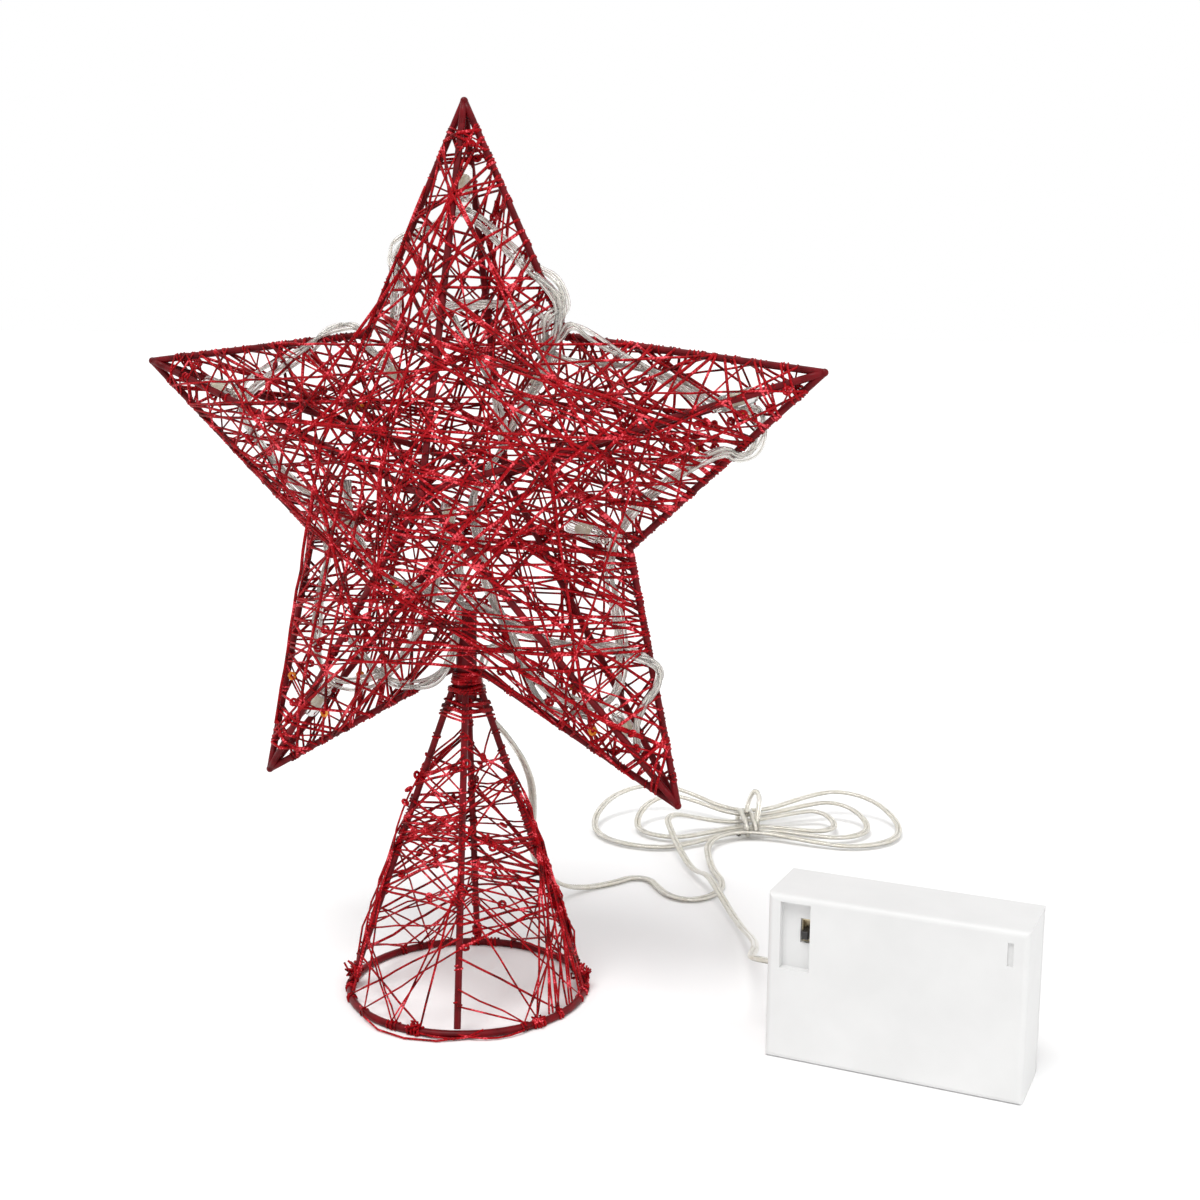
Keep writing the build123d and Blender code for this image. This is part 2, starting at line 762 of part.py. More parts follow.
with BuildPart() as battery_case:
    with BuildSketch(case_frame):
        Rectangle(case_length, case_depth, align=corner)
    extrude(amount=case_height)
    front_face = battery_case.faces().sort_by(Axis(case_corner, case_frame.y_dir))[0]
    fillet(front_face.edges(), case_edge_radius)
    # Battery bay and switch bay, both open at the back
    with BuildSketch(case_frame.offset(case_wall)):
        with Locations((bay_start, case_front_wall)):
            Rectangle(bay_length, case_depth, align=corner)
        with Locations((case_wall, switch_seat)):
            Rectangle(switch_bay, case_depth, align=corner)
    extrude(amount=inner_height, mode=Mode.SUBTRACT)
    # Seat of the cover with its two grooves, open at the right-hand end
    with BuildSketch(case_end.offset(case_wall)):
        with Locations((cover_low - slide_gap, case_wall)):
            Rectangle(cover_thickness + slide_gap + overrun, inner_height, align=corner)
        with Locations((cover_low - slide_gap, case_wall - groove_depth)):
            Rectangle(groove_width + 2 * slide_gap, inner_height + 2 * groove_depth, align=corner)
    extrude(amount=case_length, mode=Mode.SUBTRACT)
    # Finger recess, switch window and shallow slot in the front
    with BuildSketch(case_frame.offset(recess_base)):
        with Locations((recess_left, -overrun)):
            Rectangle(recess_width, recess_depth + overrun, align=corner)
    extrude(amount=recess_height, mode=Mode.SUBTRACT)
    with BuildSketch(case_frame.offset(window_base)):
        with Locations((window_left, 0)):
            Rectangle(window_width, switch_seat + overrun, align=corner)
    extrude(amount=window_height, mode=Mode.SUBTRACT)
    with BuildSketch(case_frame.offset(vent_base)):
        with Locations((vent_left, -overrun)):
            Rectangle(vent_width, vent_depth + overrun, align=corner)
    extrude(amount=vent_height, mode=Mode.SUBTRACT)
    # Hole for the grommet in the left-hand end
    with BuildSketch(case_end.offset(-overrun)):
        with Locations((case_depth / 2, grommet_height)):
            Circle(grommet_body / 2 + seat_gap)
    extrude(amount=case_wall + 2 * overrun, mode=Mode.SUBTRACT)
write(battery_case, "battery_case")

with BuildPart() as battery_cover:
    with BuildSketch(case_end.offset(case_wall + slide_gap)):
        with Locations((cover_low, case_wall + slide_gap)):
            Rectangle(cover_thickness, inner_height - 2 * slide_gap, align=corner)
        with Locations((cover_low, case_wall - groove_depth + slide_gap)):
            Rectangle(groove_width, inner_height + 2 * groove_depth - 2 * slide_gap, align=corner)
    extrude(amount=case_length - case_wall - slide_gap)
    with BuildSketch(case_frame.offset((case_height - grip_height) / 2)):
        for groove in range(grip_count):
            with Locations((case_length - grip_inset - groove * grip_pitch, case_depth - grip_depth)):
                Rectangle(grip_width, grip_depth + overrun, align=corner)
    extrude(amount=grip_height, mode=Mode.SUBTRACT)
write(battery_cover, "battery_cover")

with BuildPart() as cable_grommet:
    with BuildSketch(case_end.offset(-grommet_flange_length)):
        with Locations((case_depth / 2, grommet_height)):
            RegularPolygon(grommet_flange / 2, grommet_sides)
    extrude(amount=grommet_flange_length)
    with BuildSketch(case_end):
        with Locations((case_depth / 2, grommet_height)):
            RegularPolygon(grommet_body / 2, grommet_sides)
    extrude(amount=case_wall)
write(cable_grommet, "cable_grommet")

# Slide switch behind the window, and its knob

window_middle = window_left + window_width / 2
switch_middle = window_base + window_height / 2
slot_width = knob_width + 2 * slide_gap
slot_height = knob_height + knob_travel + 2 * slide_gap
switch_face = Plane(
    origin=case_point(window_middle, switch_seat, switch_middle),
    x_dir=case_frame.x_dir,
    z_dir=-case_frame.y_dir,
)
with BuildPart() as switch_body:
    with BuildSketch(switch_face):
        Rectangle(switch_width, switch_height)
    extrude(amount=-switch_depth)
    with BuildSketch(switch_face):
        Rectangle(slot_width, slot_height)
    extrude(amount=-(knob_stem_depth + slide_gap), mode=Mode.SUBTRACT)
write(switch_body, "switch_body")

with BuildPart() as switch_knob:
    with BuildSketch(switch_face.offset(-knob_stem_depth)):
        with Locations((0, -knob_travel / 2)):
            Rectangle(knob_width, knob_height)
    extrude(amount=knob_stem_depth + switch_seat - knob_below_tip)
    fillet(switch_knob.faces().sort_by(Axis(case_corner, case_frame.y_dir))[0].edges(), knob_edge)
write(switch_knob, "switch_knob")

# Cells in series, their contact plates and the tapered springs at their flat ends

def cell_axis(index):
    """Height of a cell's axis."""
    return case_wall + cell_pitch * (index + 0.5)


def flat_end(index):
    """Plane at a cell's flat end, facing along the cell towards its nub."""
    way = -1 if index % 2 == 0 else 1
    wall = bay_end if index % 2 == 0 else bay_start
    place = wall + way * (plate_thickness + spring_length + seat_gap)
    return Plane(
        origin=case_point(place, cell_depth, cell_axis(index)),
        x_dir=case_frame.z_dir,
        z_dir=case_frame.x_dir * way,
    )


with BuildPart() as battery_cells:
    for index in range(cell_count):
        with BuildSketch(flat_end(index)):
            RegularPolygon(cell_diameter / 2, cell_sides)
        extrude(amount=cell_length)
        with BuildSketch(flat_end(index).offset(cell_length)):
            RegularPolygon(nub_diameter / 2, cell_sides)
        extrude(amount=nub_height)
write(battery_cells, "battery_cells")

with BuildPart() as contact_springs:
    for index in range(cell_count):
        with BuildSketch(flat_end(index).offset(-seat_gap - spring_length)):
            RegularPolygon(spring_wide / 2, spring_sides)
        extrude(amount=spring_length, taper=degrees(atan2((spring_wide - spring_narrow) / 2, spring_length)))
write(contact_springs, "contact_springs")

with BuildPart() as contact_plates:
    for wall, way, odd in ((bay_start, 1, 1), (bay_end, -1, 0)):
        with BuildSketch(case_end.offset(wall)):
            for index in range(odd, cell_count, 2):
                reach = cell_pitch if index + 1 < cell_count else 0
                with Locations((cell_depth, cell_axis(index) + reach / 2)):
                    Rectangle(plate_width, plate_width + reach)
            if odd:
                with Locations((cell_depth, cell_axis(0))):
                    Rectangle(plate_width, plate_width)
        extrude(amount=way * plate_thickness)
write(contact_plates, "contact_plates")
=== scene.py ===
import random
from collections import Counter
from math import atan2, cos, degrees, hypot, pi, radians, sin

import bpy
from mathutils import Matrix, Vector


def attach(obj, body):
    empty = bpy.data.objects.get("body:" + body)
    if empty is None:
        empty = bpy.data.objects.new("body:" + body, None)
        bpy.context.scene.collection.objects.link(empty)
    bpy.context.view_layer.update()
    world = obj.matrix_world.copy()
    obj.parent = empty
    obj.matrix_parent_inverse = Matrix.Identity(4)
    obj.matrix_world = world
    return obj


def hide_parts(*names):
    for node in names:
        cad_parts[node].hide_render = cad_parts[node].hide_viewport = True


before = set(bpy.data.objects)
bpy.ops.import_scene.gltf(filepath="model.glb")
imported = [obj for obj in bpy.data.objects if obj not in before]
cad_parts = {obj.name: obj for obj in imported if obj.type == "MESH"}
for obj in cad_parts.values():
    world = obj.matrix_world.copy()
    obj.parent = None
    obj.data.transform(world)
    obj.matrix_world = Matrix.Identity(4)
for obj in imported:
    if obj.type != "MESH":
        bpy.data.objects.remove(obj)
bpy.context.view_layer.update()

# The sizes below are millimetres in the part's frame, as in part.py; meshes are written in metres.
MM = 0.001
FRONT, REAR = -1, 1

# ---------------------------------------------------------------- the star and cone, as in part.py
star_centre = Vector((0, 0, 150))
tip_radii = (104, 106, 110, 108, 106)
notch_radius = 51
apex_depth = 30
wire_radius = 1.0
arm_count = len(tip_radii)
arm_step = 360 / arm_count
neck_notch = 2
cone_height = 90
leg_top_radius = 4.3
ring_radius = 34.5
ring_wire_radius = 1.1
leg_angles = [18, 108, 198, 288]

# ---------------------------------------------------------------- the thread and the cords
thread_radius = 0.38
thread_pitch = 1.0
strand_radius = 0.55
lead_width = 2.6
lead_thickness = 1.45


def arm_angle(arm):
    """The angle of an arm, in degrees; arm 0 points up."""
    return 90 + arm_step * (arm % arm_count)


def star_point(radius, angle):
    """A point of the star's middle plane."""
    turn = radians(angle)
    return star_centre + Vector((radius * cos(turn), 0, radius * sin(turn)))


def across(line, hint):
    """The part of hint that is square to a line."""
    return (hint - line * hint.dot(line)).normalized()


class Wire:
    """A straight wire, with the side its thread bears on."""

    def __init__(self, start, end, hint, radius=wire_radius):
        self.start, self.end, self.radius = start, end, radius
        self.length = (end - start).length
        self.line = (end - start).normalized()
        self.out = across(self.line, hint)

    def at(self, share, lift=0.0):
        """A point at a share of the wire's length, lifted off its middle line."""
        return self.start.lerp(self.end, share) + self.out * lift

    def bearing(self, share, radius=thread_radius):
        """Where the middle of a thread lies when it bears on the wire."""
        return self.at(share, self.radius + 0.8 * radius)


tips = [star_point(tip_radii[k], arm_angle(k)) for k in range(arm_count)]
notches = [star_point(notch_radius, arm_angle(k) + arm_step / 2) for k in range(arm_count)]
apexes = {side: star_centre + Vector((0, side * apex_depth, 0)) for side in (FRONT, REAR)}


def outline_wire(arm, way):
    """The outline from a tip to the notch on its left (way 1) or right (way -1)."""
    notch = notches[arm if way > 0 else arm - 1]
    return Wire(tips[arm], notch, notch - star_centre - (tips[arm] - star_centre) * 0.4)


left_wires = [outline_wire(k, 1) for k in range(arm_count)]
right_wires = [outline_wire(k, -1) for k in range(arm_count)]
ribs = {side: [Wire(tip, apexes[side], Vector((0, side, 0))) for tip in tips] for side in (FRONT, REAR)}


def cone_point(radius, angle, height):
    """A point round the cone's axis."""
    turn = radians(angle)
    return Vector((radius * cos(turn), radius * sin(turn), height))


legs = [Wire(cone_point(leg_top_radius, angle, cone_height), cone_point(ring_radius, angle, ring_wire_radius),
             cone_point(1, angle, 0)) for angle in leg_angles]


# ================================================================ mesh making
class Weave:
    """Round strands gathered into one mesh, with the length along each strand kept for its pattern."""

    def __init__(self):
        self.points, self.faces, self.along, self.slots = [], [], [], []

    def tube(self, line, radius, sides, slot=0, closed=False):
        """A strand along a line. The radius is one value, or a list with one for each point."""
        count = len(line)
        radii = radius if isinstance(radius, (list, tuple)) else [radius] * count
        base = len(self.points)
        normal, run, runs = None, 0.0, []
        for i, point in enumerate(line):
            before = line[i - 1] if i or closed else point
            after = line[(i + 1) % count] if i < count - 1 or closed else point
            tangent = (after - before).normalized()
            normal = tangent.orthogonal().normalized() if normal is None else across(tangent, normal)
            other = tangent.cross(normal)
            run += (point - line[i - 1]).length if i else 0.0
            runs.append(run)
            for j in range(sides):
                turn = 2 * pi * j / sides
                offset = normal * cos(turn) + other * sin(turn)
                self.points.append((point + offset * radii[i]) * MM)
        for i in range(count if closed else count - 1):
            here, there = base + i * sides, base + (i + 1) % count * sides
            top = runs[i + 1] if i < count - 1 else run + (line[0] - line[-1]).length
            for j in range(sides):
                k = (j + 1) % sides
                self.faces.append((here + j, here + k, there + k, there + j))
                u, w = j / sides, (j + 1) / sides
                self.along += [u, runs[i], w, runs[i], w, top, u, top]
                self.slots.append(slot)
        if not closed:
            last = base + (count - 1) * sides
            self.faces.append(tuple(base + j for j in reversed(range(sides))))
            self.faces.append(tuple(last + j for j in range(sides)))
            self.along += [0.0, 0.0] * (2 * sides)
            self.slots += [slot, slot]

    def turned(self, origin, axis, profile, sides, slot=0):
        """A round solid from (height, radius) pairs along an axis."""
        line = [origin + axis * height for height, radius in profile]
        self.tube(line, [radius for height, radius in profile], sides, slot)

    def build(self, name, materials, slot, replaces=(), crease=None):
        """One piece on the topper, made of all the strands so far."""
        mesh = bpy.data.meshes.new(name)
        mesh.from_pydata(self.points, [], self.faces)
        layer = mesh.uv_layers.new(name="along")
        layer.data.foreach_set("uv", self.along)
        mesh.polygons.foreach_set("material_index", self.slots)
        mesh.shade_smooth()
        if crease:
            mesh.set_sharp_from_angle(angle=radians(crease))
        for material in materials:
            mesh.materials.append(material)
        obj = bpy.data.objects.new(name, mesh)
        bpy.context.scene.collection.objects.link(obj)
        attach(obj, "topper")
        if replaces:
            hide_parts(*replaces)
        return obj


def spline(name, points, resolution=6):
    """The drawn points of a NURBS line that has the given points as its control points, all in metres."""
    curve = bpy.data.curves.new(name, "CURVE")
    curve.dimensions = "3D"
    curve.resolution_u = resolution
    line = curve.splines.new("NURBS")
    line.points.add(len(points) - 1)
    for spot, point in zip(line.points, points):
        spot.co = (*point, 1)
    line.order_u = 3
    line.use_endpoint_u = True
    obj = bpy.data.objects.new(name, curve)
    mesh = bpy.data.meshes.new_from_object(obj)
    drawn = [vertex.co.copy() for vertex in mesh.vertices]
    bpy.data.objects.remove(obj)
    bpy.data.curves.remove(curve)
    bpy.data.meshes.remove(mesh)
    return drawn


# ================================================================ materials
def shader(name):
    """A new material with its node tree and its main shader."""
    material = bpy.data.materials.new(name)
    material.use_nodes = True
    tree = material.node_tree
    return material, tree, tree.nodes["Principled BSDF"]


def grain(tree, scale, detail=3.0):
    """A noise in the object's own metres."""
    place = tree.nodes.new("ShaderNodeTexCoord")
    noise = tree.nodes.new("ShaderNodeTexNoise")
    noise.inputs["Scale"].default_value = scale
    noise.inputs["Detail"].default_value = detail
    tree.links.new(place.outputs["Object"], noise.inputs["Vector"])
    return noise.outputs["Fac"]


def ramp(tree, value, stops):
    """Colours, or grey levels, at places along a value."""
    node = tree.nodes.new("ShaderNodeValToRGB")
    marks = node.color_ramp.elements
    while len(marks) < len(stops):
        marks.new(0.5)
    for mark, (place, colour) in zip(marks, stops):
        mark.position = place
        mark.color = (*colour, 1) if isinstance(colour, tuple) else (colour, colour, colour, 1)
    tree.links.new(value, node.inputs["Fac"])
    return node.outputs["Color"]


def bump(tree, shade, height, strength, distance):
    """Fine relief on a shader."""
    node = tree.nodes.new("ShaderNodeBump")
    node.inputs["Strength"].default_value = strength
    node.inputs["Distance"].default_value = distance
    tree.links.new(height, node.inputs["Height"])
    tree.links.new(node.outputs["Normal"], shade.inputs["Normal"])


def mottled(name, colours, rough, scale, metal=0.0, coat=0.0, grit=0.0, clear=0.0, ior=1.45, shine=0.5):
    """A surface whose colour and polish drift between two values."""
    material, tree, shade = shader(name)
    noise = grain(tree, scale)
    tree.links.new(ramp(tree, noise, [(0.35, colours[0]), (0.65, colours[1])]), shade.inputs["Base Color"])
    tree.links.new(ramp(tree, noise, [(0.3, rough[0]), (0.7, rough[1])]), shade.inputs["Roughness"])
    shade.inputs["Metallic"].default_value = metal
    shade.inputs["Coat Weight"].default_value = coat
    shade.inputs["Specular IOR Level"].default_value = shine
    shade.inputs["Transmission Weight"].default_value = clear
    shade.inputs["IOR"].default_value = ior
    if grit:
        bump(tree, shade, grain(tree, scale * 12, 5.0), grit, 0.0002)
    return material


def sums(tree, first, share, second):
    """share times first, plus second."""
    node = tree.nodes.new("ShaderNodeMath")
    node.operation = "MULTIPLY_ADD"
    node.inputs[1].default_value = share
    tree.links.new(first, node.inputs[0])
    tree.links.new(second, node.inputs[2])
    return node.outputs["Value"]


def yarn(name, painted_shade, body, painted_glint):
    """Glossy twisted thread: painted shade and painted highlight run slantwise along each strand with the
    twist, with painted glints as bright specks on it.
    """
    material, tree, shade = shader(name)
    place = tree.nodes.new("ShaderNodeUVMap")
    place.uv_map = "along"
    parts = tree.nodes.new("ShaderNodeSeparateXYZ")
    tree.links.new(place.outputs["UV"], parts.inputs["Vector"])
    wave = tree.nodes.new("ShaderNodeMath")
    wave.operation = "PINGPONG"
    wave.inputs[1].default_value = 0.5
    tree.links.new(sums(tree, parts.outputs["Y"], 1 / thread_pitch, parts.outputs["X"]), wave.inputs[0])
    drift = grain(tree, 260, 2.0)
    # The colour level mixes painted shade and highlight along the twist, painted glints from a fine speck
    # noise, and a slow random drift of tone.
    level = sums(tree, wave.outputs["Value"], 0.25, sums(tree, grain(tree, 2600, 1.0), 0.45, drift))
    tree.links.new(ramp(tree, level, [(0.62, painted_shade), (0.76, body), (0.9, body), (0.98, painted_glint)]),
                   shade.inputs["Base Color"])
    tree.links.new(ramp(tree, drift, [(0.3, 0.3), (0.7, 0.5)]), shade.inputs["Roughness"])
    shade.inputs["Specular IOR Level"].default_value = 0.11
    bump(tree, shade, wave.outputs["Value"], 0.4, 0.0002)
    return material


lacquer = mottled("lacquered wire", ((0.09, 0.002, 0.004), (0.17, 0.004, 0.008)), (0.3, 0.45), 260,
                  shine=0.16, grit=0.12)
# Each thread's first colour is its painted shade and its last is its painted glint; the middle one is its own
# colour.
thread = yarn("crimson thread", (0.075, 0.0002, 0.001), (0.36, 0.0008, 0.005), (0.92, 0.10, 0.13))
gold_thread = yarn("orange thread", (0.28, 0.05, 0.004), (0.7, 0.2, 0.02), (0.95, 0.5, 0.12))
clear_sleeve = mottled("clear sleeve", ((0.93, 0.91, 0.84), (0.99, 0.98, 0.95)), (0.02, 0.08), 220,
                       clear=0.96, ior=1.4)
string_sleeve = mottled("thin clear sleeve", ((0.96, 0.94, 0.90), (1.0, 0.99, 0.96)), (0.02, 0.08), 260,
                        clear=0.85, ior=1.45, shine=0.8)
clear_cap = mottled("clear cap", ((0.94, 0.93, 0.91), (0.99, 0.98, 0.97)), (0.03, 0.10), 180,
                    clear=0.92, ior=1.48)
copper_core = mottled("stranded core", ((0.80, 0.77, 0.71), (0.92, 0.90, 0.86)), (0.3, 0.45), 700, metal=0.3)
lamp_body = mottled("lamp body", ((0.86, 0.80, 0.58), (0.93, 0.89, 0.72)), (0.2, 0.35), 400)
white_plastic = mottled("white plastic", ((0.71, 0.71, 0.705), (0.745, 0.745, 0.74)), (0.40, 0.52), 60,
                        grit=0.04)
soft_collar = mottled("soft collar", ((0.72, 0.71, 0.68), (0.78, 0.77, 0.75)), (0.5, 0.62), 150, grit=0.05)
brass = mottled("switch brass", ((0.52, 0.43, 0.28), (0.64, 0.56, 0.40)), (0.28, 0.45), 320, metal=0.9)
black_knob = mottled("switch knob", ((0.016, 0.015, 0.015), (0.035, 0.033, 0.032)), (0.35, 0.5), 300,
                     grit=0.06)
cell_sleeve = mottled("cell sleeve", ((0.05, 0.055, 0.06), (0.08, 0.085, 0.09)), (0.3, 0.42), 180, coat=0.3)
steel = mottled("contact steel", ((0.55, 0.55, 0.54), (0.68, 0.68, 0.67)), (0.25, 0.4), 500, metal=1.0)


# ================================================================ the thread on the star
def clamp(value, low, high):
    return max(low, min(high, value))


def above_floor(point):
    """The point, or the place over it where a thread just lies on the floor."""
    return Vector((point.x, point.y, max(point.z, thread_radius)))


def stray(dice, reach):
    """A small step at random, up to a reach each way."""
    return Vector([dice.uniform(-reach, reach) for axis in range(3)])


def strung(weave, stops, radius, dice, slack=0.22):
    """One thread over a list of points, a little crinkled on its long runs."""
    line = [stops[0]]
    for start, end in zip(stops, stops[1:]):
        pieces = round((end - start).length / crinkle)
        line += [start.lerp(end, i / pieces) + stray(dice, slack) for i in range(1, pieces)]
        line.append(end)
    weave.tube(line, radius, 5)


outline_wires = left_wires + right_wires
neck_wires = (left_wires[neck_notch], right_wires[neck_notch + 1])
# The shares of an outline wire, from its tip, between which thread is held: less of it beside the neck.
tip_share, notch_share, neck_share = 0.09, 0.985, 0.74
crinkle = 6.5
nearly_parallel = 1e-6
# A chord over the body counts as less crowded than it is, and one at an arm's end as more.
body_weight, end_weight = 0.72, 1.55
cell_size = 4.5
chord_tries = 10
side_length = 14600  # thread on each side
# Chords round an arm: how often, how much they turn, and how far from the tip. Then the reach of the others.
arm_chance, arm_turn, arm_near, arm_far = 0.55, 38, 8, 72
body_radius = 72
# A second thread beside one: how often, how near, how much it turns, and how far its length may differ.
double_chance, double_near, double_far, double_turn, double_slack = 0.3, 1.0, 1.7, 0.03, 9
# The heights of the belts.
belts = (134, 133, 131.5, 128, 114, 112.5, 107, 105.5, 101)
knot_count, knot_strands, knot_spread = 6, 5, 0.4
coil_steps, coil_pitch = 9, 1.1
eyelet_steps, eyelet_ring, eyelet_radius = 9, 0.95, 0.46
star_eyelets, orange_step, first_orange = 150, 15, 5


def outline_hits(x, z, turn):
    """Where a line over the star, through a point and at an angle, first meets the outline each way."""
    dx, dz = cos(turn), sin(turn)
    ahead = behind = None
    for wire in outline_wires:
        ex, ez = wire.end.x - wire.start.x, wire.end.z - wire.start.z
        rx, rz = wire.start.x - x, wire.start.z - z
        spread = ex * dz - ez * dx
        if abs(spread) < nearly_parallel:
            continue
        run, share = (ex * rz - ez * rx) / spread, (dx * rz - dz * rx) / spread
        if 0 <= share <= 1:
            if run > 0 and (ahead is None or run < ahead[0]):
                ahead = (run, wire, share)
            if run < 0 and (behind is None or run > behind[0]):
                behind = (run, wire, share)
    return behind, ahead


def well_held(hit):
    """Whether thread stays on the outline where a line meets it."""
    return hit is not None and tip_share < hit[2] < (neck_share if hit[1] in neck_wires else notch_share)


def ridge_stops(side, start, end, radius):
    """Where a thread drawn tight between two outline points bears on the ribs."""
    marks = [(0.0, 0.0, None)]
    dx, dz = end.x - start.x, end.z - start.z
    for arm, rib in enumerate(ribs[side]):
        turn = radians(arm_angle(arm))
        spread = dx * sin(turn) - dz * cos(turn)
        if abs(spread) < nearly_parallel:
            continue
        rx, rz = star_centre.x - start.x, star_centre.z - start.z
        run = (rx * sin(turn) - rz * cos(turn)) / spread
        out = (rx * dz - rz * dx) / spread
        share = 1 - out / tip_radii[arm]
        if 0 < run < 1 and 0 < share < 1:
            marks.append((run, apex_depth * share, rib.bearing(share, radius)))
    marks = sorted(marks, key=lambda mark: mark[0]) + [(1.0, 0.0, None)]
    tight = []
    for mark in marks:
        while len(tight) > 1 and ((tight[-1][0] - tight[-2][0]) * (mark[1] - tight[-2][1])
                                  >= (tight[-1][1] - tight[-2][1]) * (mark[0] - tight[-2][0])):
            tight.pop()
        tight.append(mark)
    return [mark[2] for mark in tight[1:-1]]


def edge_stops(side, wire, share, radius):
    """The turn of a thread round an outline wire, from the outside to the front or the rear."""
    reach = wire.radius - 0.2 * radius
    return [wire.at(share) + wire.out * reach,
            wire.at(share) + (wire.out * 0.4 + Vector((0, side * 0.92, 0))) * (reach + 0.3 * radius)]


def held_chord(x, z, turn):
    """The stretch of a line over the star between two outline wires, or None where they can't hold it."""
    chord = outline_hits(x, z, turn)
    return chord if all(well_held(hit) for hit in chord) else None


def chord_ends(chord):
    """The two points of the outline that hold a chord."""
    return [hit[1].at(hit[2]) for hit in chord]


def chord_cells(chord):
    """The small squares of the star's face that a chord passes over."""
    start, end = chord_ends(chord)
    count = round((end - start).length / cell_size) + 1
    marks = [start.lerp(end, i / count) / cell_size for i in range(count + 1)]
    return [(round(mark.x), round(mark.z)) for mark in marks]


def crowding(chord, crowd):
    """How much thread a chord meets, weighted so that the body takes more of it than the arms' ends."""
    cells = chord_cells(chord)
    near, far = chord_ends(chord)
    out = ((near + far) / 2 - star_centre).length / notch_radius
    return sum(crowd[cell] for cell in cells) / len(cells) * clamp(out, body_weight, end_weight)


def lay_thread(weaves, side, chord, dice, crowd):
    """One thread across a side of the star. Gives its length, or 0 where nothing holds it."""
    if chord is None:
        return 0
    radius = thread_radius * dice.choice((0.7, 0.85, 1.0, 1.0, 1.15, 1.3))
    start, end = chord_ends(chord)
    (wire, share), (last_wire, last_share) = [hit[1:] for hit in chord]
    stops = (edge_stops(side, wire, share, radius) + ridge_stops(side, start, end, radius)
             + edge_stops(side, last_wire, last_share, radius)[::-1])
    middle = (start + end) / 2 - star_centre
    arm = max(range(arm_count), key=lambda k: middle.dot(tips[k] - star_centre))
    strung(weaves[arm], stops, radius, dice)
    spots.append((side, stops[1].lerp(stops[2], dice.uniform(0.25, 0.75))))
    crowd.update(chord_cells(chord))
    return (end - start).length


def outline_reach(angle):
    """How far the outline of the shortest arm lies from the star's centre, at an angle."""
    lean = radians(abs((angle - arm_angle(0) + arm_step / 2) % arm_step - arm_step / 2))
    half = radians(arm_step / 2)
    reach = min(tip_radii)
    return reach * notch_radius * sin(half) / (notch_radius * sin(half - lean) + reach * sin(lean))


def outline_share(point):
    """How far out a point lies, as a share of the way from the star's centre to its outline."""
    flat = point - star_centre
    return hypot(flat.x, flat.z) / outline_reach(degrees(atan2(flat.z, flat.x)))


def body_spot(dice):
    """A point of the star's body, and not in the open angle between two arms."""
    while True:
        out, angle = body_radius * dice.random() ** 0.5, dice.uniform(0, 360)
        if out < outline_reach(angle):
            return star_point(out, angle)


def any_chord(dice):
    """A chord round an arm or over the body."""
    if dice.random() < arm_chance:
        arm = dice.randrange(arm_count)
        spot = star_point(tip_radii[arm] - dice.uniform(arm_near, arm_far), arm_angle(arm))
        return held_chord(spot.x, spot.z, radians(arm_angle(arm) + 90 + dice.gauss(0, arm_turn)))
    spot = body_spot(dice)
    return held_chord(spot.x, spot.z, dice.uniform(0, pi))


def beside_chord(chord, dice):
    """A second chord close beside one, and about as long."""
    start, end = chord_ends(chord)
    line = (end - start).normalized()
    spot = (start + end) / 2 + Vector((-line.z, 0, line.x)) * dice.uniform(double_near, double_far)
    second = held_chord(spot.x, spot.z, atan2(line.z, line.x) + dice.gauss(0, double_turn))
    if second and outline_share(spot) < 1:
        near, far = chord_ends(second)
        if abs((far - near).length - (end - start).length) < double_slack:
            return second
    return None


def web_side(weaves, side, dice):
    """Thread at all angles over one side: in belts, through knots, and then where there is least of it."""
    drawn, crowd = 0.0, Counter()
    for height in belts:
        chord = held_chord(dice.uniform(-3, 3), height, dice.gauss(0, 0.02))
        drawn += lay_thread(weaves, side, chord, dice, crowd)
    for number in range(knot_count):
        spot = body_spot(dice)
        for strand in range(knot_strands):
            x, z = spot.x + dice.gauss(0, knot_spread), spot.z + dice.gauss(0, knot_spread)
            chord = held_chord(x, z, dice.uniform(0, pi))
            drawn += lay_thread(weaves, side, chord, dice, crowd)
    while drawn < side_length:
        chords = [chord for chord in [any_chord(dice) for number in range(chord_tries)] if chord]
        chord = min(chords, key=lambda chord: crowding(chord, crowd))
        drawn += lay_thread(weaves, side, chord, dice, crowd)
        if dice.random() < double_chance:
            drawn += lay_thread(weaves, side, beside_chord(chord, dice), dice, crowd)


def coil(weave, wire, share, turns, radius):
    """A few close turns of thread round a wire."""
    steps = round(turns * coil_steps)
    other = wire.line.cross(wire.out)
    reach = wire.radius + 0.5 * radius
    line = []
    for i in range(steps + 1):
        turn = 2 * pi * i / coil_steps
        rise = (i / coil_steps - turns / 2) * coil_pitch
        spot = wire.at(share) + wire.line * rise + (wire.out * cos(turn) + other * sin(turn)) * reach
        line.append(above_floor(spot))
    weave.tube(line, radius, 5)


def wrap_wire(weave, wire, dice, gap, start):
    """Turns of thread here and there along a wire."""
    run = start + dice.uniform(0, 3)
    while run < wire.length - 5:
        turns = dice.choice((0.8, 1, 1.3, 2))
        coil(weave, wire, run / wire.length, turns, thread_radius * dice.uniform(0.6, 0.85))
        run += dice.uniform(0.5, 1.5) * gap


def eyelet(weave, dice, centre, normal):
    """A small closed knot of thread."""
    axis = (normal + stray(dice, 0.8)).normalized()
    first = axis.orthogonal().normalized()
    second = axis.cross(first)
    turns = [2 * pi * i / eyelet_steps for i in range(eyelet_steps)]
    line = [centre + (first * cos(turn) + second * sin(turn)) * eyelet_ring for turn in turns]
    weave.tube(line, eyelet_radius, 6, closed=True)


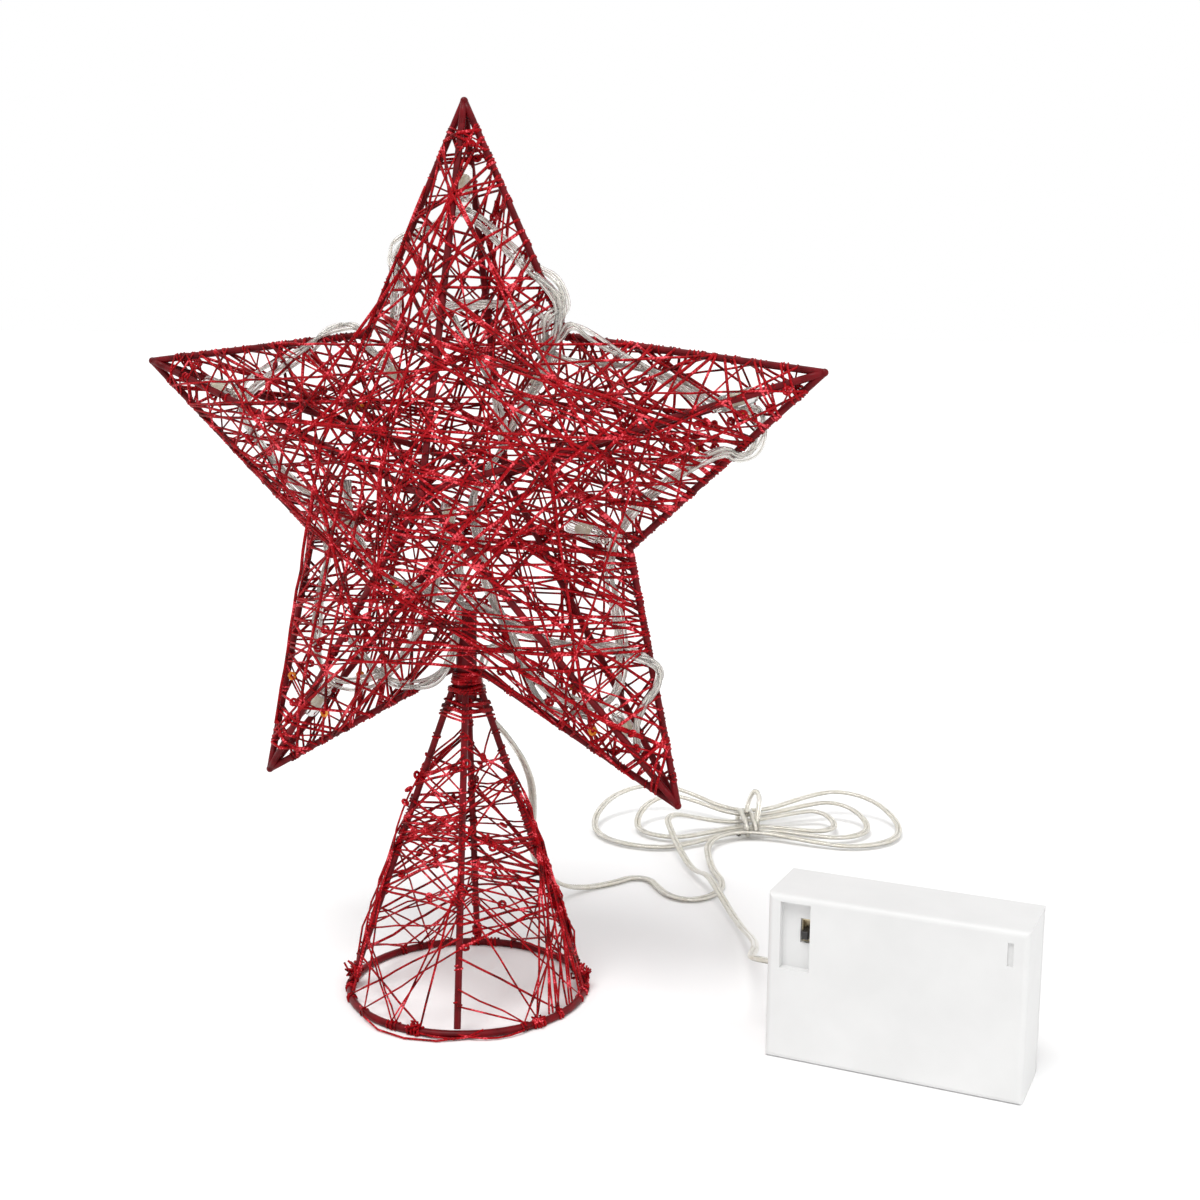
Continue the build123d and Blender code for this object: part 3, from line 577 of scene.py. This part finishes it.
spots = []
star_dice = random.Random(20)
for side, word in ((FRONT, "front"), (REAR, "rear")):
    weaves = [Weave() for arm in range(arm_count)]
    web_side(weaves, side, star_dice)
    for arm in range(arm_count):
        weaves[arm].build(f"{word}_thread_{arm + 1}", [thread], slot="tinsel_thread",
                          replaces=[f"{word}_web_{arm + 1}"])

wrap_dice = random.Random(7)
wraps, eyelets, gold_eyelets = Weave(), Weave(), Weave()
for wire in outline_wires:
    wrap_wire(wraps, wire, wrap_dice, gap=12, start=8)
for wire in ribs[FRONT] + ribs[REAR]:
    wrap_wire(wraps, wire, wrap_dice, gap=15, start=12)
for number, (side, spot) in enumerate(wrap_dice.sample(spots, star_eyelets)):
    orange = number % orange_step == first_orange
    eyelet(gold_eyelets if orange else eyelets, wrap_dice, spot, Vector((0, side, 0)))


# ================================================================ the thread on the cone
right_leg, left_leg, front_leg = 0, 2, 3
face_threads, skirt_count, cone_eyelets = 22, 5, 26
highest_share, lowest_share = 0.09, 0.93
foot_share = 0.95
foot_span, lump_angles = (322, 374), (268, 328)


def cone_threads(weave, dice, face):
    """Thread from leg to leg, closest over the middle of the cone."""
    first, second = legs[face], legs[(face + 1) % len(legs)]
    for number in range(face_threads):
        share = dice.triangular(0.12, 0.88, 0.5)
        lean = dice.gauss(0, 0.06)
        radius = thread_radius * dice.choice((0.75, 0.85, 1.0, 1.15))
        for strand in range(dice.choice((1, 1, 2))):
            near, far = [clamp(share + way * lean + strand * dice.uniform(0.012, 0.03),
                               highest_share, lowest_share) for way in (-1, 1)]
            strung(weave, [first.bearing(near, radius), second.bearing(far, radius)], radius, dice, 0.42)
            spot = first.bearing(near).lerp(second.bearing(far), dice.uniform(0.15, 0.85))
            cone_spots.append((first.out + second.out, spot))


def ring_wire(angle):
    """A short straight stretch of the ring."""
    centre = cone_point(ring_radius, angle, ring_wire_radius)
    tangent = Vector((-sin(radians(angle)), cos(radians(angle)), 0)) * 6
    return Wire(centre - tangent, centre + tangent, Vector((0, 0, 1)), ring_wire_radius)


def skirt_threads(weave, dice, face):
    """Long threads from the legs down to the ring, in wide triangles."""
    first, second = legs[face], legs[(face + 1) % len(legs)]
    for number in range(skirt_count):
        radius = thread_radius * dice.choice((0.75, 0.9))
        angle = leg_angles[face] + dice.uniform(14, 76)
        strung(weave, [first.bearing(dice.uniform(0.5, 0.94), radius), ring_wire(angle).bearing(0.5, radius),
                       second.bearing(dice.uniform(0.5, 0.94), radius)], radius, dice, 0.25)
        coil(weave, ring_wire(angle), 0.5, dice.choice((1, 2)), radius)


cone_spots = []
cone_dice = random.Random(11)
for face in range(len(legs)):
    weave = Weave()
    cone_threads(weave, cone_dice, face)
    skirt_threads(weave, cone_dice, face)
    weave.build(f"cone_thread_{face + 1}", [thread], slot="tinsel_thread", replaces=[f"cone_web_{face + 1}"])


def tangle(weave, dice, centre, reach, strands):
    """A lump of thread round a joint."""
    for strand in range(strands):
        stops = [above_floor(centre + stray(dice, reach)) for part in range(5)]
        strung(weave, stops, thread_radius * 0.9, dice)


# Turns round the legs and their feet, with knots.
for number, leg in enumerate(legs):
    wrap_wire(wraps, leg, wrap_dice, gap=4 if number == right_leg else 11, start=11)
    if number != front_leg:
        coil(wraps, leg, foot_share, 3.5, thread_radius * 1.15)
        for step in range(5):
            angle = leg_angles[number] + wrap_dice.gauss(0, 5)
            coil(wraps, ring_wire(angle), 0.5, wrap_dice.choice((1, 2, 3)), thread_radius)
    for step in range(4):
        spot = leg.at(wrap_dice.uniform(0.2, 0.8), leg.radius) + stray(wrap_dice, 1.5)
        eyelet(eyelets, wrap_dice, spot, leg.out)
for facing, spot in wrap_dice.sample(cone_spots, cone_eyelets):
    eyelet(eyelets, wrap_dice, spot, facing)
# Strands gathered along two of the legs, down to a lump at the foot.
for number, strands in ((right_leg, 20), (left_leg, 3)):
    leg = legs[number]
    for strand in range(strands):
        low, high = wrap_dice.uniform(0.7, 0.95), wrap_dice.uniform(0.2, 0.55)
        stops = [leg.at(low, 0.3)] + [leg.at(low + (high - low) * part / 6, 1.3) + stray(wrap_dice, 1.5)
                                      for part in range(1, 6)] + [leg.at(high, 0.3)]
        strung(wraps, stops, thread_radius * 0.85, wrap_dice)
    tangle(wraps, wrap_dice, leg.at(0.965) + Vector((0, 0, 1.2)), 2.6, 9)
# Threads from the ring up to the right leg, lumps on the ring, and loose thread beside it.
for strand in range(12):
    foot, share = ring_wire(wrap_dice.uniform(*foot_span)), wrap_dice.uniform(0.4, 0.75)
    strung(wraps, [foot.bearing(0.5), legs[right_leg].bearing(share)], thread_radius * 0.85, wrap_dice)
for angle in lump_angles:
    tangle(wraps, wrap_dice, ring_wire(angle).at(0.5, 0.4), 2.2, 7)
    coil(wraps, ring_wire(angle), 0.5, 4, thread_radius)
loose_end = [cone_point(ring_radius + lift, angle, height) for lift, angle, height in (
    (0.5, 232, 2.6), (2.2, 240, 1.6), (3.6, 252, 0.6), (4.2, 266, 0.5), (3.4, 280, 0.5), (1.6, 292, 0.9),
    (0.4, 300, 2.4))]
strung(wraps, loose_end, thread_radius * 0.8, wrap_dice, 0.2)
for lift, start in ((1.6, 262), (2.6, 284)):
    loop = [cone_point(ring_radius + lift * sin(pi * i / 8), start + 5.5 * i, 1.8 - 1.2 * sin(pi * i / 8))
            for i in range(9)]
    strung(wraps, loop, thread_radius * 0.8, wrap_dice, 0.2)

wraps.build("wire_wraps", [thread], slot="tinsel_thread")
eyelets.build("thread_knots", [thread], slot="tinsel_thread")
gold_eyelets.build("orange_knots", [gold_thread], slot="tinsel_thread")

# ---------------------------------------------------------------- the binding at the neck
post_radius = 3.0
binding_low, binding_high, binding_turns, binding_steps = 90.3, 96.8, 20, 20
flare_top, flare_height = 94.5, 7
leg_turns, leg_stops = 5, 6
bind_dice = random.Random(3)
binding = Weave()
for number in range(binding_turns):
    middle = bind_dice.uniform(binding_low, binding_high)
    slant, lean, press = bind_dice.gauss(0, 0.6), bind_dice.uniform(0, 2 * pi), bind_dice.uniform(0, 0.5)
    line = []
    for i in range(binding_steps):
        turn = 2 * pi * i / binding_steps
        height = middle + slant * cos(turn - lean) + bind_dice.uniform(-0.15, 0.15)
        corner = (0.5 + 0.5 * cos(len(legs) * (turn - radians(leg_angles[0])))) ** 2
        reach = post_radius + 0.5 + press + clamp(flare_top - height, 0, flare_height) * (0.1 + 0.26 * corner)
        line.append(Vector((reach * cos(turn), reach * sin(turn), height)))
    binding.tube(line, thread_radius * bind_dice.uniform(0.9, 1.2), 6, closed=True)
tangle(binding, bind_dice, Vector((0, 0, 88.8)), 3.4, 12)
for number in range(leg_turns):
    share = bind_dice.uniform(0.008, 0.045)
    stops = [legs[k % len(legs)].bearing(share + 0.006 * k) for k in range(number, number + leg_stops)]
    strung(binding, stops, thread_radius, bind_dice, 0.1)
binding.build("neck_thread", [thread], slot="tinsel_thread", replaces=["neck_binding"])


# ================================================================ the joints of the wire frame
def joint(weave, centre, wires, radius):
    """Wires run together into one small blob of solder."""
    for wire in wires:
        near = wire.start if (wire.start - centre).length < (wire.end - centre).length else wire.end
        way = wire.line if near is wire.start else -wire.line
        weave.tube([near + way * 6.5, near + way * 3, near + way * 0.4], wire.radius, 12)
    axis = Vector((0, 1, 0))
    profile = [(-radius * cos(pi * i / 8), max(radius * sin(pi * i / 8), 0.05)) for i in range(9)]
    weave.turned(centre, axis, profile, 14)


tip_bead, notch_bead, hub_bead = 1.1, 1.3, 1.5
tip_joints, notch_joints, hub_joints = Weave(), Weave(), Weave()
for arm in range(arm_count):
    tip_wires = [left_wires[arm], right_wires[arm], ribs[FRONT][arm], ribs[REAR][arm]]
    joint(tip_joints, tips[arm], tip_wires, tip_bead)
    if arm != neck_notch:
        joint(notch_joints, notches[arm], [left_wires[arm], right_wires[(arm + 1) % arm_count]], notch_bead)
for side in (FRONT, REAR):
    joint(hub_joints, apexes[side], ribs[side], hub_bead)
for weave, name, node in ((tip_joints, "tip_joints", "tip_welds"),
                          (notch_joints, "notch_joints", "notch_welds"),
                          (hub_joints, "hub_joints", "rib_hubs")):
    weave.build(name, [lacquer], slot="frame_wire", replaces=[node])

ring = Weave()
ring_line = [cone_point(ring_radius, angle, ring_wire_radius) for angle in range(0, 360, 5)]
ring.tube(ring_line, ring_wire_radius, 12, closed=True)
ring.build("ring_wire", [lacquer], slot="frame_wire", replaces=["base_ring"])

# ================================================================ the lamp string
string_wires, string_wander, run_wander = 4, 2.0, 1.4
harness_start = [Vector((2.0, 6.2, 91)), Vector((2.0, 6.2, 97.4)), Vector((5.4, 2.8, 102.0)),
                 Vector((14.0, 0.6, 104.0))]
harness_finish = [Vector((-9, 0.4, 114.5)), Vector((-6.5, 0, 133))]
string_arms = [3, 4, 0, 1, 2]
# Where the string loops over the outline: the arm and its side, and how far out.
loop_tops = {(0, 1): 68, (0, -1): 57, (1, -1): 53, (4, -1): 84}
out_radius, side_radius, side_angle, in_radius = 77, 64, 13.06, 42
least_depth, depth_share = 2.4, 0.65
neck_route = [Vector(point) for point in (
    (-36, 0, 103), (-28, -2, 95), (-19, -3.4, 91), (-11, -4.2, 92.5), (-5.5, -4.8, 96), (-2, -5.4, 102),
    (0, -5, 110), (0.4, -4.8, 120), (-0.4, -4.8, 129), (0.5, -5, 137))]
# Further runs of the string behind the front web, across the star and up it, each with its number of wires.
cross_runs = [
    (5, [(-33, 150), (-33, 139), (-28, 130), (-21, 125), (-10, 121), (2, 118), (11, 114), (21, 111),
         (31, 108.5), (42, 107), (51, 105.5), (57.5, 103), (58.5, 98), (54, 92), (51, 84), (53, 77)]),
    (5, [(21, 207), (27, 203.5), (29.5, 197.5), (27, 190), (25, 182), (20.5, 172), (17, 162), (12.5, 155),
         (8, 147), (10, 139), (11, 132), (11, 124), (14, 116), (17.5, 107), (20, 95), (24, 88.5), (31, 86.5),
         (38, 88)]),
    (3, [(0.5, 197), (5, 188), (10.5, 181.5), (13.5, 174.5), (16, 168), (17, 161)]),
    (3, [(-10, 196), (-2, 199), (8, 200), (19, 199.5), (26, 195.5), (24, 186)]),
    (3, [(24, 184), (28, 191), (33, 195), (39, 191.5), (45, 186.5), (52, 183.5), (59, 180.5), (66, 176),
         (70, 173)])]
notch_along = notch_radius * cos(radians(arm_step / 2))
notch_aside = notch_radius * sin(radians(arm_step / 2))


def arm_spot(arm, along, aside, depth=0):
    """A point of an arm, from the star's centre along the arm and across it."""
    turn = radians(arm_angle(arm))
    return star_centre + Vector((along * cos(turn) - aside * sin(turn), depth,
                                 along * sin(turn) + aside * cos(turn)))


def edge_aside(arm, along):
    """How far the outline lies to the side of an arm's middle line."""
    return (tip_radii[arm] - along) * notch_aside / (tip_radii[arm] - notch_along)


def behind_web(x, z):
    """A point a little way in behind the thread on the front of the star."""
    depth = apex_depth * (1 - outline_share(Vector((x, 0, z))))
    return Vector((x, FRONT * max(least_depth, depth * depth_share), z))


def side_points(arm, way, dice):
    """From an arm's end towards its foot: inside the web, or out over the outline and in again."""
    if (arm, way) not in loop_tops:
        return [star_point(side_radius, arm_angle(arm) + way * side_angle)]
    depth = dice.choice((FRONT, FRONT, REAR)) * 4.6
    top = loop_tops[arm, way]
    foot, lift = top - dice.uniform(6, 9), dice.uniform(2.6, 4)
    return [arm_spot(arm, top + 3, way * (edge_aside(arm, top + 3) - 4.5), depth),
            arm_spot(arm, top, way * (edge_aside(arm, top) + lift)),
            arm_spot(arm, foot, way * (edge_aside(arm, foot) + lift)),
            arm_spot(arm, foot - 3, way * (edge_aside(arm, foot - 3) - 4), -depth)]


def harness_points(dice):
    """The string's route, looping over the outline here and there."""
    points = list(harness_start)
    for number, arm in enumerate(string_arms):
        points += reversed(side_points(arm, -1, dice))
        points.append(star_point(out_radius, arm_angle(arm)))
        points += side_points(arm, 1, dice)
        if number < len(string_arms) - 1:
            points.append(star_point(in_radius, arm_angle(arm) + arm_step / 2))
    return points + harness_finish


string_dice = random.Random(5)
string = Weave()
string_route = harness_points(string_dice)
string_runs = [string_route] * string_wires + [neck_route] * string_wires
for wires, places in cross_runs:
    string_runs += [[behind_web(x, z) for x, z in places]] * wires
for route in string_runs:
    wander = string_wander if route is string_route else run_wander
    wandering = [(point + stray(string_dice, wander)) * MM for point in route]
    drawn = [point / MM for point in spline("string", wandering)]
    string.tube(drawn, strand_radius, 8, 0)
    string.tube(drawn, strand_radius * 0.24, 5, 1)
string.build("lamp_string", [string_sleeve, copper_core], slot="harness_cord", replaces=["led_harness"])

lamp_radius, lamp_length, collar_length = 2.25, 12.8, 3.0
out_seat, in_seat = 74.78, 44.49
CAP, COLLAR, BODY, LEG = range(4)
lamps = Weave()


def lamp(origin, axis):
    """A clear cap over a small round lamp, with its collar and two legs."""
    side = axis.orthogonal().normalized()
    lamps.turned(origin, axis, [(0, 1.2), (0.4, 1.75), (collar_length, 1.75), (collar_length + 0.3, 1.3)],
                 16, COLLAR)
    lamps.turned(origin, axis, [(collar_length - 0.6, 1.2), (collar_length - 0.3, lamp_radius),
                                (lamp_length - 1.6, lamp_radius), (lamp_length - 0.6, lamp_radius * 0.82),
                                (lamp_length, lamp_radius * 0.4)], 20, CAP)
    lamps.turned(origin, axis, [(5.2, 0.6), (5.3, 1.45), (6.0, 1.45), (6.1, 1.2), (8.6, 1.2), (9.4, 0.85),
                                (9.8, 0.3)], 14, BODY)
    for way in (-1, 1):
        foot = origin + side * (0.55 * way)
        lamps.tube([foot + axis * 3.4, foot + axis * 5.2], 0.22, 6, LEG)


for arm in string_arms:
    lamp(star_point(out_seat, arm_angle(arm)), (tips[arm] - star_centre).normalized())
for arm in string_arms[:-1]:
    lamp(star_point(in_seat, arm_angle(arm) + arm_step / 2), (star_centre - notches[arm]).normalized())
last_run = (harness_finish[1] - harness_finish[0]).normalized()
lamp(harness_finish[1] + last_run * 0.3, last_run)
lamps.build("lamp_caps", [clear_cap, clear_sleeve, lamp_body, steel], slot="lamp_caps",
            replaces=["led_lamps"], crease=40)

# ================================================================ the lead
lead_points = [Vector(point) for point in (
    (2, 6.2, 91), (2, 6.2, 84), (8, 10.4, 76), (12.2, 19.5, 62.5), (8.6, 32, 47), (1.8, 47, 31),
    (-1.6, 63.5, 16.5), (0.6, 80, 5), (6, 92, 1.1), (13.5, 100.5, 1.1), (17.3, 108, 1.1), (24, 108.3, 1.1),
    (29, 101, 1.1), (35.5, 93.2, 1.1), (44, 92, 1.1), (50, 100, 1.1), (50, 113, 1.1), (41, 127, 1.6),
    (32.8, 152.0, 3.7))]
hank_centre = Vector((42.5, 177.3, 0))
hank_turn = radians(18)
hank_along = Vector((cos(hank_turn), sin(hank_turn), 0))
hank_across = Vector((-sin(hank_turn), cos(hank_turn), 0))
hank_waist, hank_step, hank_height = 8.0, 1.4, 3.7
lobes = [(60, 23), (60, 26), (47.5, 14.8), (43, 15), (34.5, 8.6)]
lobe_marks = [-105, -75, -45, -15, 15, 45, 75, 105]
lobe_heights = [1.8, 1.6, 2.6, 2.2, 3.2]
lobe_rises = [8.5, 10.0, 5.5, 8.0, 3.0]
tail_points = [Vector(point) for point in (
    (31.7, 174.9, 3.7), (22.5, 170, 6.2), (17.5, 162, 9), (17, 153.5, 9.4), (21, 144, 9), (28, 131, 6),
    (37, 118.5, 2.2), (46, 104, 7), (53, 90, 7), (62.5, 75, 3.6), (70, 58, 6), (76, 41, 11), (81, 25, 15.5),
    (84.2, 10, 19.5), (85.3, -0.6, 21.4), (88.78, -3.80, 22.5), (92.76, -4.21, 22.5))]


def hank_point(along, aside, height):
    """A point of the hank: along it, across it, and above the floor."""
    return hank_centre + hank_along * along + hank_across * aside + Vector((0, 0, height))


def hank_points():
    """Figure-of-eight turns: out round one lobe, back through the waist, out round the other."""
    points = []
    for number, (length, radius) in enumerate(lobes):
        way = 1 if number % 2 == 0 else -1
        waist = hank_waist - hank_step * number
        points.append(hank_point(0, -way * waist, hank_height))
        for mark in lobe_marks:
            turn = radians(mark)
            aside = way * radius * sin(turn)
            points.append(hank_point(way * (length - radius + radius * cos(turn)), aside,
                                     lobe_heights[number] + lobe_rises[number] * max(aside / radius, 0)))
    points.append(hank_point(0, hank_waist - hank_step * len(lobes), hank_height))
    return points


lead_route = lead_points + hank_points() + tail_points
lead_drawn = spline("lead", [point * MM for point in lead_route], 8)
lead_line = [point / MM for point in lead_drawn]
lead = Weave()
pair_gap = (lead_width - lead_thickness) / 2
up = Vector((0.15, 0.1, 1))


def beside(line, offset):
    """The line moved sideways, level with the floor where it lies flat."""
    moved = []
    for i, point in enumerate(line):
        tangent = (line[min(i + 1, len(line) - 1)] - line[max(i - 1, 0)]).normalized()
        side = tangent.cross(across(tangent, up)) if abs(tangent.z) < 0.97 else Vector((1, 0, 0))
        moved.append(point + side.normalized() * offset)
    return moved


for way in (-1, 1):
    core_line = beside(lead_line, way * pair_gap)
    lead.tube(core_line, lead_thickness / 2, 8, 0)
    lead.tube(core_line, lead_thickness * 0.24, 6, 1)
lead_cord = lead.build("lead_cord", [clear_sleeve, copper_core], slot="lead_cord",
                       replaces=["lead_to_hank", "lead_hank", "lead_to_box"])
lead_length = sum((b - a).length for a, b in zip(lead_drawn, lead_drawn[1:]))

# ---------------------------------------------------------------- the turns that tie the hank
tie_turns, tie_pitch, tie_reach, tie_low, tie_high = 2, 3.4, 10.9, 1.2, 6.5
tie_points = []
for number in range(tie_turns):
    start = (number - tie_turns / 2) * tie_pitch
    for share, aside, height in ((0, -0.6, 0), (0.15, 0.6, 0), (0.3, 1, 0.2), (0.4, 1, 0.8), (0.5, 0.6, 1),
                                 (0.7, -0.6, 1), (0.8, -1, 0.8), (0.9, -1, 0.2)):
        tie_points.append(hank_point(start + share * tie_pitch, aside * tie_reach,
                                     tie_low + height * (tie_high - tie_low)))
bow = [(3.6, -5.5, 7.4), (4.6, -3, 11), (4.8, 0.5, 14.6), (3.4, 4, 15.6), (1.8, 5.2, 12.4), (0.6, 3.6, 8.6),
       (0.2, 1, 7.4)]
tie_points += [hank_point(*place) for place in bow]
tie_line = [point / MM for point in spline("tie", [point * MM for point in tie_points], 8)]
tie = Weave()
tie.tube(tie_line, lead_thickness / 2 * 1.5, 8, 0)
tie.tube(tie_line, lead_thickness * 0.3, 6, 1)
tie_piece = tie.build("hank_wraps", [clear_sleeve, copper_core], slot="lead_cord", replaces=["hank_tie"])

tuple(lead_drawn[0])

# ================================================================ the box's springs
case_corner, case_turn = Vector((93, -15.3, 0)), radians(-6)
case_along = Vector((cos(case_turn), sin(case_turn), 0))
case_inward = Vector((-sin(case_turn), cos(case_turn), 0))
spring_depth, spring_length, spring_wide, spring_narrow, spring_wire = 8.9, 1.6, 4.0, 3.5, 0.24
spring_turns, spring_steps = 2, 18
far_plate, near_plate = 66.3, 14.5
first_cell, cell_step = 8.9, 14.2
springs = Weave()
for number, (plate, way) in enumerate(((far_plate, -1), (near_plate, 1), (far_plate, -1))):
    height = first_cell + cell_step * number
    line = []
    for i in range(spring_turns * spring_steps + 1):
        share, turn = i / (spring_turns * spring_steps), 2 * pi * i / spring_steps
        reach = spring_wide + (spring_narrow - spring_wide) * share - spring_wire
        run = plate + way * (spring_wire + (spring_length - 2 * spring_wire) * share)
        line.append(case_corner + case_along * run + case_inward * (spring_depth + reach * cos(turn))
                    + Vector((0, 0, height + reach * sin(turn))))
    springs.tube(line, spring_wire, 8)
springs.build("cell_springs", [steel], slot="contact_metal", replaces=["contact_springs"])

# ================================================================ the CAD nodes that stay in sight
cad_materials = {
    "outline": lacquer, "front_rib": lacquer, "rear_rib": lacquer, "cone_leg": lacquer, "neck_post": lacquer,
    "battery_case": white_plastic, "battery_cover": white_plastic, "cable_grommet": soft_collar,
    "switch_body": brass, "switch_knob": black_knob, "battery_cells": cell_sleeve, "contact_plates": steel,
}
for name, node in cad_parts.items():
    for start, material in cad_materials.items():
        if name.startswith(start):
            node.data.materials.clear()
            node.data.materials.append(material)

# ================================================================ camera, floor and light
camera_place = Vector((179.71, -422.09, 193.67))
camera_aim = Vector((36.17, 11.96, 117.17))
camera_roll = -0.54
focal_pixels, picture_pixels, sensor = 1626.6, 1200, 36.0

forward = (camera_aim - camera_place).normalized()
right = forward.cross(Vector((0, 0, 1))).normalized()
upward = right.cross(forward)
roll = radians(camera_roll)
camera_right = right * cos(roll) - upward * sin(roll)
camera_up = right * sin(roll) + upward * cos(roll)
lens = bpy.data.cameras.new("camera")
lens.lens = focal_pixels / picture_pixels * sensor
lens.sensor_width = sensor
lens.clip_start, lens.clip_end = 0.01, 100
camera = bpy.data.objects.new("camera", lens)
camera.matrix_world = Matrix.Translation(camera_place * MM) @ Matrix(
    (camera_right, camera_up, -forward)).transposed().to_4x4()
bpy.context.scene.collection.objects.link(camera)
bpy.context.scene.camera = camera


def sun(name, toward, strength, spread):
    """A far light that shines toward a direction."""
    data = bpy.data.lights.new(name, "SUN")
    data.energy = strength
    data.angle = radians(spread)
    obj = bpy.data.objects.new(name, data)
    obj.rotation_euler = Vector(toward).to_track_quat("-Z", "Y").to_euler()
    bpy.context.scene.collection.objects.link(obj)


sun("key", (0.1, 0.5, -1.0), 1.6, 30)
sun("fill", (-0.8, 0.35, -0.6), 0.7, 60)

floor_half = 30
floor_corners = [(x * floor_half, y * floor_half, 0) for x, y in ((-1, -1), (1, -1), (1, 1), (-1, 1))]
floor_mesh = bpy.data.meshes.new("floor")
floor_mesh.from_pydata(floor_corners, [], [(0, 1, 2, 3)])
floor = bpy.data.objects.new("floor", floor_mesh)
floor_paint, floor_tree, floor_shade = shader("pale floor")
floor_tree.links.new(ramp(floor_tree, grain(floor_tree, 3), [(0.3, 0.985), (0.7, 0.99)]),
                     floor_shade.inputs["Base Color"])
floor_shade.inputs["Roughness"].default_value = 0.9
floor_shade.inputs["Specular IOR Level"].default_value = 0.0
floor_mesh.materials.append(floor_paint)
bpy.context.scene.collection.objects.link(floor)


def larger(tree, first, second):
    """The larger of two values."""
    node = tree.nodes.new("ShaderNodeMath")
    node.operation = "MAXIMUM"
    tree.links.new(first, node.inputs[0])
    tree.links.new(second, node.inputs[1])
    return node.outputs["Value"]


# The world lights softly, and is plain white where it is seen, mirrored or looked at through a clear piece.
world = bpy.data.worlds.new("studio")
bpy.context.scene.world = world
world.use_nodes = True
sky = world.node_tree
glow = sky.nodes["Background"]
glow.inputs["Color"].default_value = (1, 1, 1, 1)
glow.inputs["Strength"].default_value = 0.62
backdrop = sky.nodes.new("ShaderNodeBackground")
backdrop.inputs["Color"].default_value = (1, 1, 1, 1)
backdrop.inputs["Strength"].default_value = 1.0
rays = sky.nodes.new("ShaderNodeLightPath")
seen = larger(sky, rays.outputs["Is Camera Ray"], rays.outputs["Is Glossy Ray"])
blend = sky.nodes.new("ShaderNodeMixShader")
sky.links.new(larger(sky, seen, rays.outputs["Is Transmission Ray"]), blend.inputs["Fac"])
sky.links.new(glow.outputs["Background"], blend.inputs[1])
sky.links.new(backdrop.outputs["Background"], blend.inputs[2])
sky.links.new(blend.outputs["Shader"], sky.nodes["World Output"].inputs["Surface"])
bpy.context.scene.view_settings.view_transform = "Standard"
